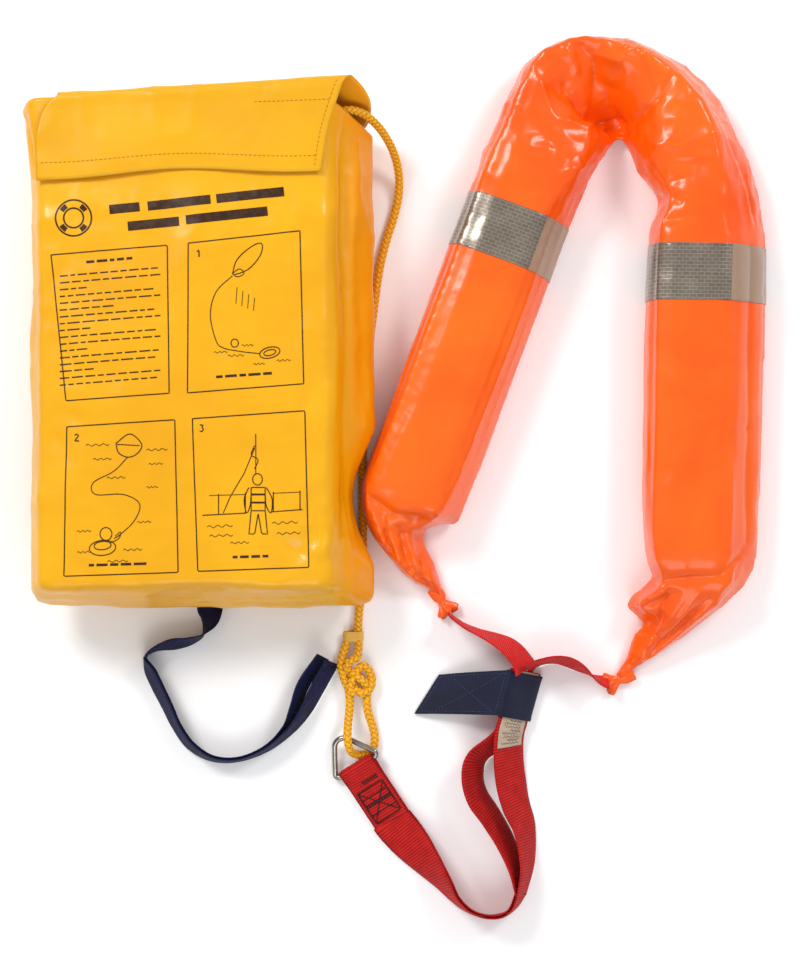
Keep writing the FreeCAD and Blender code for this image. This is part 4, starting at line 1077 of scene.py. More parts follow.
strokes += barRows(-102, -48, -179, -179, 1, 0.03, 7, 2.2)
# picture 3: mast, tackle and a plain lifted figure
strokes += [
    frameBox([(-12.4, -52.9), (84.1, -46), (87.5, -180.8), (-8.1, -184.2)]),
    digitPath(3, -6, -64),
    (0.8, [(42, -66), (42, -100)]),
    (0.8, smoothPath([(41, -76), (38, -84), (44, -88), (41, -96)])),
    (0.8, [(41, -78), (32, -100), (20, -120), (14, -134)]),
    (0.9, arcPath((43.5, -105), (4.2, 5.0))),
    (0.9, smoothPath([(36, -112), (32, -122), (34, -134), (37, -128), (38, -118)])),
    (0.9, smoothPath([(51, -112), (56, -122), (55, -134), (51, -128), (50, -118)])),
    (0.9, [(38, -112), (50, -112), (50, -132), (38, -132), (38, -112)]),
    (1.6, [(38, -118), (50, -118)]),
    (1.6, [(38, -125), (50, -125)]),
    (0.9, [(38, -132), (36, -152), (41, -152), (44, -134), (47, -152), (52, -152), (50, -132)]),
    (0.9, [(-4, -136), (34, -134)]),
    (0.9, [(55, -133), (82, -131)])]
for x in (10, 33, 57, 80):
    strokes.append((0.9, [(x, -135 + 0.04 * x), (x, -118 + 0.04 * x)]))
strokes += [
    (0.6, [(2, -119), (33, -118)]),
    (0.6, [(57, -117), (80, -116)])]
strokes += [(0.6, wavePath(*w)) for w in [(0, -146, 22), (56, -143, 22), (2, -154, 20), (60, -152, 20),
                                          (20, -160, 16)]]
strokes += barRows(22, 56, -172, -172, 1, 0.03, 9, 2.2)
frontPrint = strokePiece("frontPrint", strokes, inkLines["lift"])
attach(frontPrint, "laid_kit")
print("print", len(strokes), "strokes")


# ---- webbing
def strapFrame(flat, degrees):
    # heading in the floor, across = (heading + 90) cos roll + z sin roll, and heading x across
    roll = np.radians(degrees)
    heading = np.concatenate([flat, np.zeros((len(flat), 1))], axis=1)
    left = np.stack([-flat[:, 1], flat[:, 0], 0 * roll], axis=1)
    across = left * np.cos(roll)[:, None] + np.array([0, 0, 1.0]) * np.sin(roll)[:, None]
    return across, np.cross(heading, across)


def strapSurface(stations, width, thick, shift=0.0, ribPitch=2.3, ribDepth=0.16, spacing=0.58):
    # a strap on edge or flat through stations (x, y, roll, rise): its lower edge is at the
    # station's rise, half the width and thickness times the frame's slopes below its middle
    path = [tuple(s) + (0.0,) * (4 - len(s)) for s in stations]
    curve = evenSteps(throughPoints(path, 14), spacing, 2)
    across, normal = strapFrame(unitRows(np.gradient(curve[:, :2], axis=0)), curve[:, 2])
    lowest = np.abs(across[:, 2]) * width / 2 + np.abs(normal[:, 2]) * (thick / 2 + abs(shift))
    centre = np.concatenate([curve[:, :2], (lowest + curve[:, 3])[:, None]], axis=1) + normal * shift
    return sectionSurface(centre, across, normal, width, thick, ribPitch, ribDepth)


def sectionSurface(centre, across, normal, width, thick, ribPitch, ribDepth):
    # flattened superellipse with 11 points along each face, its thickness cut by the ribs' cosine
    share = np.linspace(-1, 1, 11)
    edge = np.sqrt(1 - np.abs(share) ** 9)
    u = np.concatenate([share, share[::-1][1:-1]]) * width / 2
    side = np.concatenate([edge, -edge[1:-1]])
    distance = alongDistance(centre)
    ribs = 1 - ribDepth * (0.5 + 0.5 * np.cos(2 * math.pi * distance / ribPitch))
    w = side[None, :] * (thick / 2) * ribs[:, None]
    surface = centre[:, None] + across[:, None] * u[None, :, None] + normal[:, None] * w[..., None]
    return surface, u, distance


def strapPiece(name, surfaces, material):
    # closed straps in one mesh, each with flat ends; its map is millimetres across and along
    points, faces, uvs, start = [], [], [], 0
    for surface, u, distance in surfaces:
        rows, columns = surface.shape[:2]
        body = gridFaces(rows, columns, closeColumns=True)
        halfCount = columns // 2 + 1
        cap = np.arange(1, halfCount - 1)
        low = np.stack([cap - 1, cap, columns - cap, (columns - cap + 1) % columns], axis=1)
        capFaces = np.stack([low[:, 3], low[:, 2], low[:, 1], low[:, 0]], axis=1)
        points.append(surface.reshape(-1, 3))
        ring = np.concatenate([u, u[:1]])
        bodyUv = gridUv(ring, distance).reshape(-1, 4, 2)
        faces += [body + start, capFaces + start, capFaces[:, ::-1] + start + (rows - 1) * columns]
        capUv = np.stack([u[capFaces], np.zeros_like(capFaces, float)], axis=-1)
        uvs += [bodyUv, capUv, capUv[:, ::-1]]
        start += rows * columns
    return meshPiece(name, np.concatenate(points), np.concatenate(faces), material,
                     np.concatenate(uvs).reshape(-1, 2))


strapSize = {"width": 38.0, "thick": 2.0, "gap": 0.3, "ribPitch": 2.3, "ribDepth": 0.16, "spacing": 0.58,
             # flat direction in which the doubled strap leaves its bend
             "splitRun": (7.0, 13.0)}
layer = (strapSize["thick"] + strapSize["gap"]) / 2
pairStations = [(158.6, -413.8, 11, 1.4), (160.3, -416.4, 11, 1.2), (168, -425.5, 14, 0.6), (178, -437, 26),
                (190, -451, 44),
                (204, -468, 62), (214.5, -482, 74), (227, -493, 79), (243, -499, 80), (258, -498, 80),
                (268, -491, 77), (275, -478, 71)]
leftStations = [(270, -454, 67), (260.5, -431, 63), (247.5, -409, 60), (235.5, -391, 58), (231.5, -372, 56),
                (237, -354, 54, 1)]
rightStations = [(281, -452, 66), (278.5, -421, 56), (271, -400, 47), (266.5, -380, 42, 2),
                 (264, -358, 42, 4)]
leftLeadStations = [(279.5, -276.5, 54, 4), (275.6, -268.8, 60, 4), (270.5, -262, 62, 3),
                    (263, -255.5, 66, 2),
                    (252, -249.5, 74), (238, -243.5, 82), (225, -237.5, 86), (214.5, -230.5, 88),
                    (209.5, -225.5, 88)]
rightLeadStations = [(280.2, -276.2, 66, 3), (287, -271.8, 74, 2), (296, -268.8, 76, 1), (307, -267.8, 74),
                     (318, -270, 72), (329, -275.5, 76), (339.5, -282.5, 90), (347.5, -286.5, 100),
                     (354, -288, 104)]


# the keeper's frame: axis along the strands, across its width, normal out of its face
keeper = {"length": 42.0, "wall": 1.4, "cavityWidth": 41.0, "cavityThick": 7.0, "centre": (273.2, -300.0),
          "heading": 74.7, "roll": 42.0, "travel": 12.0, "tabThick": 3.0,
          "tabCorners": ((201.2, -282.2), (178.6, -318.0)), "labelWidth": 30.0,
          # points round and along the sleeve, superellipse powers, dent, hem, walls and soft edge
          "around": 120, "rows": 40, "powers": (4.5, 2.6), "dent": 0.9, "hem": 0.45, "sleeveWall": 1.2,
          "tabWall": 2.4, "softEdge": 0.6, "tabSag": 3.2, "tabWave": 0.8, "tabLowest": 2.7}
outerWidth = keeper["cavityWidth"] + 2 * keeper["wall"]
outerThick = keeper["cavityThick"] + 2 * keeper["wall"]
turnAngle, rollAngle = math.radians(keeper["heading"]), math.radians(keeper["roll"])
keeperAxis = np.array([math.cos(turnAngle), math.sin(turnAngle), 0])
keeperAcross = np.array([-math.sin(turnAngle) * math.cos(rollAngle),
                         math.cos(turnAngle) * math.cos(rollAngle),
                         math.sin(rollAngle)])
keeperNormal = np.cross(keeperAxis, keeperAcross)
keeperRise = outerWidth / 2 * math.sin(rollAngle) + outerThick / 2 * math.cos(rollAngle) + 0.3
keeperMiddle = np.array([*keeper["centre"], keeperRise])
lowerEnd = -(keeper["length"] / 2 + keeper["travel"] + 2.0)
upperEnd = keeper["length"] / 2 + 2.0


def strandCurve(stations, shiftSide):
    # from the doubled strap's split to the keeper: stations, then straight through the keeper's
    # bore; centre, across and normal are carried on one smooth curve each
    split = np.array(pairStations[-1][:3] + (0.0,))
    path = np.array([tuple(s) + (0.0,) * (4 - len(s)) for s in stations])
    rows = np.vstack([split, path])
    headings = np.gradient(rows[:, :2], axis=0)
    headings[0] = unitRows(np.array(strapSize["splitRun"]))
    across, normal = strapFrame(unitRows(headings), rows[:, 2])
    lowest = np.abs(across[:, 2]) * strapSize["width"] / 2 + np.abs(normal[:, 2]) * strapSize["thick"] / 2
    lowest[0] += np.abs(normal[0, 2]) * layer
    centre = np.concatenate([rows[:, :2], (lowest + rows[:, 3])[:, None]], axis=1)
    centre[0] += normal[0] * layer * shiftSide
    straight = np.array([lowerEnd, 0.5 * (lowerEnd + upperEnd), upperEnd])
    bore = keeperMiddle + straight[:, None] * keeperAxis + keeperNormal * layer * shiftSide
    centre = np.vstack([centre, bore])
    across = np.vstack([across, np.tile(keeperAcross, (3, 1))])
    combined = evenSteps(throughPoints(np.hstack([centre, across]), 12), strapSize["spacing"])
    centre = combined[:, :3]
    heading = unitRows(np.gradient(centre, axis=0))
    across = unitRows(combined[:, 3:] - heading * np.sum(combined[:, 3:] * heading, axis=1, keepdims=True))
    return centre, across, np.cross(heading, across)


def strandSurface(stations, shiftSide):
    # the strap's section carried along the strand's curve
    return sectionSurface(*strandCurve(stations, shiftSide), strapSize["width"], strapSize["thick"],
                          strapSize["ribPitch"], strapSize["ribDepth"])


runSurfaces = [strapSurface(pairStations, strapSize["width"], strapSize["thick"], s * layer) for s in (-1, 1)]
pairStrap = strapPiece("pairStrap", runSurfaces, paint["redStrap"])
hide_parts("strap_run", "strap_bend")
leftStrand = strapPiece("leftStrand", [strandSurface(leftStations, -1)], paint["redStrap"])
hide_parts("left_strand")
rightStrand = strapPiece("rightStrand", [strandSurface(rightStations, 1)], paint["redStrap"])
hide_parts("right_strand")
leftLead = strapPiece("leftLead", [strapSurface(leftLeadStations, strapSize["width"], strapSize["thick"])],
                      paint["brightStrap"])
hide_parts("left_lead")
rightLead = strapPiece("rightLead", [strapSurface(rightLeadStations, strapSize["width"],
                                                  strapSize["thick"])], paint["brightStrap"])
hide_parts("right_lead")
for piece in (pairStrap, leftStrand, rightStrand, leftLead):
    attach(piece, "laid_kit")
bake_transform(rightLead)
print("red webbing")

# ---- the sewn eye round the ring's bar
eye = {"width": 36.0, "length": 58.0, "clearance": 0.3, "ringWire": 5.0, "centre": (127.5, -365.5, 9.4),
       "heading": -57.5, "roll": 12.0, "overlap": 2.4, "near": 14, "steps": 40, "bend": (-100, -260),
       "fall": 2.65}


def eyeFrame(part=eye):
    # unit directions away from the bar, along it and up from the webbing's face
    turn, roll = math.radians(part["heading"]), math.radians(part["roll"])
    leave = np.array([math.cos(turn), math.sin(turn), 0])
    bar = np.array([-math.sin(turn) * math.cos(roll), math.cos(turn) * math.cos(roll), math.sin(roll)])
    return leave, bar, np.cross(leave, bar)


def eyeSurface(part=eye):
    # the centre line runs up the lower layer, round the bar on an arc, and back along the upper
    # layer; across is the bar's direction throughout
    leave, bar, up = eyeFrame(part)
    bore = part["ringWire"] / 2 + part["clearance"]
    radius = bore + strapSize["thick"] / 2
    drop = bore + strapSize["thick"] - (2 * strapSize["thick"] + strapSize["gap"]) / 2
    reach = part["length"] + part["overlap"]
    far = np.linspace(reach, part["near"], part["steps"])
    bend = np.radians(np.linspace(*part["bend"], part["steps"]))
    lowerZ = -layer - drop * far / part["length"]
    arc = np.stack([radius * np.cos(bend), radius * np.sin(bend)], axis=1)
    upperFar = np.linspace(part["near"], reach, part["steps"])
    upperZ = layer - drop * upperFar / part["length"]
    middle = np.vstack([np.stack([far, lowerZ], 1), arc, np.stack([upperFar, upperZ], 1)])
    middle = evenSteps(np.hstack([middle, np.zeros((len(middle), 1))]), strapSize["spacing"])
    centre = np.array(part["centre"]) + (middle[:, 0:1] * leave + middle[:, 1:2] * up)
    heading = unitRows(np.gradient(centre, axis=0))
    across = np.tile(bar, (len(centre), 1))
    normal = np.cross(heading, across)
    return sectionSurface(centre, across, normal, part["width"], strapSize["thick"], strapSize["ribPitch"],
                          strapSize["ribDepth"])


strapEye = strapPiece("strapEye", [eyeSurface()], paint["redStrap"])
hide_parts("strap_eye")
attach(strapEye, "laid_kit")

leave, bar, up = eyeFrame()
slope = unitRows(leave * eye["length"] - up * eye["fall"])
faceUp = np.cross(bar, slope)
faceUp *= np.sign(faceUp[2])
stitchBase = np.array(eye["centre"]) + up * (2 * strapSize["thick"] + strapSize["gap"]) / 2


def eyeRow(a, b, count=40):
    # points between two places given as (across, along) from the bar's middle
    share = np.linspace(0, 1, count)[:, None]
    spots = np.array(a) * (1 - share) + np.array(b) * share
    points = stitchBase + spots[:, :1] * bar + spots[:, 1:] * slope + faceUp * 0.1
    return points, np.tile(faceUp, (count, 1))


def barTack(middle, width, depth, rows):
    # dense zigzag rows make a bar tack
    return [eyeRow((-width / 2, middle + d), (width / 2, middle + d)) for d in np.linspace(-depth, depth,
                                                                                           rows)]


rows = barTack(15, 17, 1.2, 3)
rows = [(p + bar * 4.5, n) for p, n in rows]
rows += barTack(36, 27, 1.6, 5)
for start, end in [((-14, 21), (14, 21)), ((-14, 53), (14, 53)), ((-14, 21), (-14, 53)), ((14, 21), (14, 53)),
                   ((-14, 21), (14, 53)), ((14, 21), (-14, 53)), ((-14, 29), (14, 29)),
                   ((-14, 45), (14, 45))]:
    rows.append(eyeRow(start, end))
    rows.append(eyeRow((start[0] * 0.93, start[1] + 0.9), (end[0] * 0.93, end[1] - 0.5)))
eyeStitches = stitchPiece("eyeStitches", rows, paint["darkThread"], 2.2, 0.5, 0.9, 0.55)
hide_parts("eye_stitching")
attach(eyeStitches, "laid_kit")


# ---- the keeper
def keeperSleeveSurface(part=keeper):
    # superellipse |x / a|^n + |z / b|^n = 1 carried along the axis, with soft dents
    angle = np.linspace(0, 2 * math.pi, part["around"], endpoint=False)
    along = np.linspace(-part["length"] / 2, part["length"] / 2, part["rows"])
    x = np.sign(np.cos(angle)) * np.abs(np.cos(angle)) ** (2 / part["powers"][0]) * (outerWidth / 2)
    z = np.sign(np.sin(angle)) * np.abs(np.sin(angle)) ** (2 / part["powers"][1]) * (outerThick / 2)
    spots = np.stack(np.broadcast_arrays(x[None, :], along[:, None], z[None, :]), axis=-1)
    dent = part["dent"] * (latticeNoise(spots, 16, 61) - 0.5) * np.abs(np.sin(angle))[None, :]
    hem = part["hem"] * np.exp(-((np.abs(along) - part["length"] / 2 + 1.8) / 1.6) ** 2)[:, None]
    depth = z[None, :] + np.sign(z)[None, :] * (dent + hem - 0.3)
    return (keeperMiddle + x[None, :, None] * keeperAcross + along[:, None, None] * keeperAxis
            + depth[..., None] * keeperNormal)


sleeveGrid = keeperSleeveSurface()
keeperSleeve = meshPiece("keeperSleeve", sleeveGrid.reshape(-1, 3),
                         gridFaces(*sleeveGrid.shape[:2], closeColumns=True)[:, ::-1], paint["cordura"])
mergeDoubles(keeperSleeve)
thicken(keeperSleeve, keeper["sleeveWall"] * mm)
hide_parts("keeper_sleeve")

seamTop = keeperMiddle + keeperAcross * (outerWidth / 2 + 0.02) + keeperAxis * keeper["length"] / 2
seamBottom = seamTop - keeperAxis * keeper["length"]
tabLift = keeper["tabThick"] / 2 + 0.2
leftTop = np.array([*keeper["tabCorners"][0], tabLift])
leftBottom = np.array([*keeper["tabCorners"][1], tabLift])


def tabSurface(columns=70, rows=44):
    # ruled between the sleeve's seam and the free corners, sagging to the floor on a smooth step
    out = np.linspace(-0.045, 1, columns)[None, :, None]
    down = np.linspace(0, 1, rows)[:, None, None]
    top = seamTop + (leftTop - seamTop) * out
    bottom = seamBottom + (leftBottom - seamBottom) * out
    grid = top + (bottom - top) * down
    height = grid[..., 2].copy()
    grid[..., 2] = height - keeper["tabSag"] * np.sin(math.pi * np.clip(out[..., 0], 0, 1)) * easeStep(1.5,
                                                                                                       12,
                                                                                                       height)
    grid[..., 2] += keeper["tabWave"] * (latticeNoise(grid, 22, 71) - 0.5) * easeStep(0, 0.3, out[..., 0])
    grid[..., 2] = np.maximum(grid[..., 2] + 1.15, keeper["tabLowest"])
    return grid


tabGrid = tabSurface()
tabNormals = gridNormals(tabGrid)
tabNormals *= np.sign(tabNormals[20, 30, 2])
keeperTab = meshPiece("keeperTab", tabGrid.reshape(-1, 3), gridFaces(*tabGrid.shape[:2]), paint["cordura"])
if getNormals(keeperTab.data)[:, 2].mean() < 0:
    keeperTab.data.flip_normals()
thicken(keeperTab, keeper["tabWall"] * mm)
softEdge = keeperTab.modifiers.new("softEdge", "BEVEL")
softEdge.width = keeper["softEdge"] * mm
softEdge.segments = 2
softEdge.limit_method = "ANGLE"
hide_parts("keeper_tab")

endColumn, endRow = tabGrid.shape[1] - 1, tabGrid.shape[0] - 1
columnRun, rowRun = np.linspace(4, endColumn - 3, 90), np.linspace(3, endRow - 3, 50)
crossRun = np.linspace(8, endColumn - 16, 70)
tabRows = [gridRow(tabGrid, tabNormals, rows, columns) for rows, columns in [
    (3.0, columnRun), (endRow - 3.0, columnRun), (rowRun, endColumn - 3.5), (rowRun, 4.5),
    (np.linspace(4, endRow - 5, 70), crossRun), (np.linspace(endRow - 4, 5, 70), crossRun)]]
keeperStitches = stitchPiece("keeperStitches", tabRows, paint["navyThread"], 2.2, 1.0, 0.8, 0.5)
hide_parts("keeper_stitching")
for piece, name in ((keeperSleeve, "keeper_cordura"), (keeperTab, "keeper_cordura"),
                    (keeperStitches, "navy_thread")):
    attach(piece, "keeper")

# the label is sewn flat on the upper strand, from below the sleeve up through it: the strand's
# own curve, lifted by half its thickness
label = {"length": 70.0, "lift": strapSize["thick"] / 2 + 0.35, "rows": 72, "columns": 24, "wobble": 0.5,
         "wall": 0.4, "markPoints": 30,
         # scrawl rows that spell nothing: row, first column, last column
         "marks": [(3.5, 3, 20), (6.5, 4, 15), (9.5, 3, 19), (12.5, 6, 20), (15.5, 3, 13), (18.5, 4, 19),
                   (21.5, 5, 20), (24.5, 3, 16), (68.5, 4, 18)]}
strandCentre, strandAcross, strandNormal = strandCurve(rightStations, 1)
fromEnd = alongDistance(strandCentre)[-1] - alongDistance(strandCentre)
labelAlong = np.linspace(label["length"], 0.5, label["rows"])
pickStrand = lambda rows: np.stack([np.interp(labelAlong, fromEnd[::-1], rows[::-1, k]) for k in range(3)],
                                   axis=1)
labelAcross = np.linspace(-keeper["labelWidth"] / 2, keeper["labelWidth"] / 2, label["columns"])
wobble = latticeNoise(np.stack(np.broadcast_arrays(labelAcross[None, :], labelAlong[:, None], 0.0), -1), 9,
                      81)
labelGrid = (pickStrand(strandCentre)[:, None] + labelAcross[None, :, None] * pickStrand(strandAcross)[:,
                                                                                                       None]
             + (label["lift"] + label["wobble"] * wobble)[..., None] * pickStrand(strandNormal)[:, None])
labelNormals = np.tile(keeperNormal, labelGrid.shape[:2] + (1,))
markSteps = np.arange(label["markPoints"])
labelMarks = [gridRow(labelGrid, labelNormals, row + 0.8 * np.sin(markSteps * 1.7 + row),
                      np.linspace(left, right, label["markPoints"])) for row, left, right in label["marks"]]
strapLabel = meshPiece("strapLabel", labelGrid.reshape(-1, 3), gridFaces(*labelGrid.shape[:2]),
                       paint["label"])
if getNormals(strapLabel.data)[300, 2] < 0:
    strapLabel.data.flip_normals()
thicken(strapLabel, label["wall"] * mm)
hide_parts("strap_label")
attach(strapLabel, "laid_kit")
labelScrawl = stitchPiece("labelScrawl", labelMarks, paint["labelInk"], 1.6, 0.7, 0.7, 0.25)
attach(labelScrawl, "laid_kit")
print("keeper and label")

# ---- the navy tail
tail = {"width": 25.0, "thick": 1.7, "gap": 0.2, "ribPitch": 1.7, "ribDepth": 0.14, "spacing": 0.5}
tailRoot = [(-6.5, -206, 0), (-6.5, -220, 12), (-6.5, -232, 42), (-11, -243, 80)]
tailCross = [(-14.5, -247.5, 98), (-26, -252, 112), (-40, -254.5, 118), (-54, -258, 104), (-62, -263, 93),
             (-64.3, -267, 86)]
tailLeg = [(-64.4, -265.6, 86), (-63.5, -269.5, 78), (-60, -278, 62), (-53, -293, 60), (-44.5, -310, 62)]
tailOuter = [(-36, -328, 65), (-23, -346, 66), (-3, -357.5, 74), (21, -358, 79), (46, -348, 76),
             (67, -331, 70), (80, -314, 63), (91, -293, 57), (104, -270, 58)]
tailInner = [(-36, -328, 65), (-23, -346, 66), (-3, -357.5, 74), (21, -358, 79), (46, -348, 76),
             (64, -330, 72), (72, -312, 66), (80, -290, 62), (97, -266, 60)]
tailLayer = (tail["thick"] + tail["gap"]) / 2


def tailSurface(stations, shift):
    # a strap of the tail's section along the stations
    return strapSurface(stations, tail["width"], tail["thick"], shift, tail["ribPitch"], tail["ribDepth"],
                        tail["spacing"])


rootStrap = strapPiece("tailRoot", [tailSurface(tailRoot + tailCross, 0.0)], paint["navyStrap"])
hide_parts("tail_root", "tail_cross")
outerSurface = tailSurface(tailLeg + tailOuter, tailLayer)
outerStrap = strapPiece("tailOuter", [outerSurface], paint["navyStrap"])
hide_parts("tail_leg", "tail_loop_outer")
innerStrap = strapPiece("tailInner", [tailSurface(tailLeg + tailInner, -tailLayer)], paint["navyStrap"])
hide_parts("tail_loop_inner")
# a box and cross of plum thread on the upper face joins the layers: rows are steps along the strap
tailSewing = {"near": 22, "far": 84, "left": 2.0, "right": 8.0, "count": 60}
upperFace = outerSurface[0][:, :11]
faceNormals = gridNormals(upperFace)
if faceNormals[tailSewing["near"]:tailSewing["far"], 5, 2].mean() < 0:
    upperFace = outerSurface[0][:, [0] + list(range(19, 10, -1)) + [10]]
    faceNormals = gridNormals(upperFace)
    faceNormals *= np.sign(faceNormals[tailSewing["near"]:tailSewing["far"], 5, 2].mean())
near, far, left, right = (tailSewing[key] for key in ("near", "far", "left", "right"))
sewn = [gridRow(upperFace, faceNormals, np.linspace(a, b, tailSewing["count"]),
                np.linspace(c, d, tailSewing["count"]))
        for a, b, c, d in [(near, far, left, left), (near, far, right, right), (near, near, left, right),
                           (far, far, left, right), (near, far, left, right), (near, far, right, left)]]
tailStitches = stitchPiece("tailStitches", sewn, paint["plumThread"], 2.0, 0.8, 0.8, 0.5)
for piece in (rootStrap, outerStrap, innerStrap, tailStitches):
    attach(piece, "laid_kit")
print("navy tail")

# ---- the sling
sling = {"voxel": 4.0, "pressure": 4.0, "frames": 14, "cap": 2.2, "blur": 0.75, "floor": 0.4,
         "outerToe": 24.0, "innerToe": 15.0, "sharp": 1.25,
         # outer x, y, inner x, y, outer height, inner height, outer shoulder, inner shoulder
         "stations": [
             (198, -211, 206, -216, 12, 12, 0.3, 0.3), (186, -204, 203, -203, 20, 18, 0.25, 0.3),
             (169, -193, 198, -187, 30, 24, 0.2, 0.3), (153, -175, 191, -167, 40, 30, 0.15, 0.3),
             (140, -154, 190, -153, 50, 38, 0.1, 0.3), (132, -133, 206, -149, 58, 50, 0.06, 0.28),
             (131, -117, 221, -147, 62, 62, 0.04, 0.27), (135, -103, 226, -135, 62, 65, 0.03, 0.27),
             (165, -22, 256, -56, 62, 66, 0.03, 0.27), (200, 72, 291, 38, 62, 66, 0.03, 0.27),
             (229, 151, 320, 118, 62, 66, 0.03, 0.26), (249, 202, 337, 158, 63, 63, 0.05, 0.2),
             (268, 245, 352, 187, 64, 52, 0.05, 0.2), (283, 272, 362, 199, 64, 36, 0.05, 0.26),
             (308, 289, 366, 202, 63, 24, 0.06, 0.32), (330, 293, 368, 202, 64, 22, 0.06, 0.34),
             (362, 288, 371, 197, 65, 30, 0.08, 0.28), (395, 278, 375, 186, 65, 44, 0.11, 0.2),
             (427, 261, 381, 171, 66, 54, 0.16, 0.12), (454, 235, 391, 158, 66, 60, 0.22, 0.08),
             (472, 203, 398, 146, 66, 62, 0.28, 0.06), (485, 169, 397, 134, 66, 62, 0.33, 0.05),
             (493, 138, 391, 122, 66, 62, 0.36, 0.04),
             (498, 106, 390, 107, 66, 62, 0.37, 0.03), (498, 50, 388, 50, 66, 62, 0.37, 0.03),
             (495, -60, 386, -60, 66, 62, 0.37, 0.03), (491, -158, 385, -163, 65, 62, 0.37, 0.03),
             (484, -190, 391, -197, 60, 56, 0.3, 0.06), (469, -208, 370, -220, 50, 46, 0.25, 0.08),
             (450, -227, 385, -236, 42, 36, 0.25, 0.2), (431, -244, 376, -253, 33, 28, 0.25, 0.25),
             (403, -263, 372, -268, 23, 20, 0.28, 0.28), (382, -277, 364, -281, 15, 14, 0.3, 0.3),
             (373, -285, 361, -288, 12, 12, 0.3, 0.3)]}


def slingSurface(part=sling):
    # section between the outer and inner floor lines: up the outer side to its shoulder, across
    # the top and down the inner side, blurred round; the sections ride the smoothed stations
    rows = evenSteps(throughPoints(part["stations"], 10), 3.0, 2)
    outer, inner = rows[:, None, :2], rows[:, None, 2:4]
    highOuter, highInner, shoulderOuter, shoulderInner = (rows[:, i, None] for i in (4, 5, 6, 7))
    one = np.ones_like(highOuter)
    share = np.stack([0.09 * one, 0 * one, shoulderOuter, 1 - shoulderInner, one, 0.93 * one], axis=2)[:, 0]
    height = np.stack([0.8 * one, part["outerToe"] * one, highOuter, highInner, part["innerToe"] * one,
                       0.8 * one], axis=2)[:, 0]
    height[:, 1] = np.minimum(height[:, 1], highOuter[:, 0] * 0.5)
    height[:, 4] = np.minimum(height[:, 4], highInner[:, 0] * 0.4)
    pieces = []
    for i, count in enumerate((6, 26, 34, 26, 6, 34)):
        t = (np.arange(count) / count)[None, :]
        k = (i + 1) % 6
        s = share[:, i, None] * (1 - t) + share[:, k, None] * t
        h = height[:, i, None] * (1 - t) + height[:, k, None] * t
        spot = outer * (1 - s[..., None]) + inner * s[..., None]
        pieces.append(np.concatenate([spot, h[..., None]], axis=2))
    return blurRing(np.concatenate(pieces, axis=1), part["blur"])


def closedTube(name, grid, material):
    # a ring-by-ring surface with a fan at each end
    rows, columns = grid.shape[:2]
    ends = np.stack([grid[0].mean(axis=0), grid[-1].mean(axis=0)])
    j = np.arange(columns)
    k = (j + 1) % columns
    first, last = rows * columns, rows * columns + 1
    start = (rows - 1) * columns
    body = gridFaces(rows, columns, closeColumns=True).tolist()
    fans = np.stack([np.full(columns, first), k, j], 1).tolist()
    fans += np.stack([np.full(columns, last), start + j, start + k], 1).tolist()
    mesh = bpy.data.meshes.new(name)
    mesh.from_pydata((np.concatenate([grid.reshape(-1, 3), ends]) * mm).tolist(), [], body + fans)
    mesh.materials.append(material)
    piece = linkPiece(name, mesh)
    mergeDoubles(piece)
    return piece


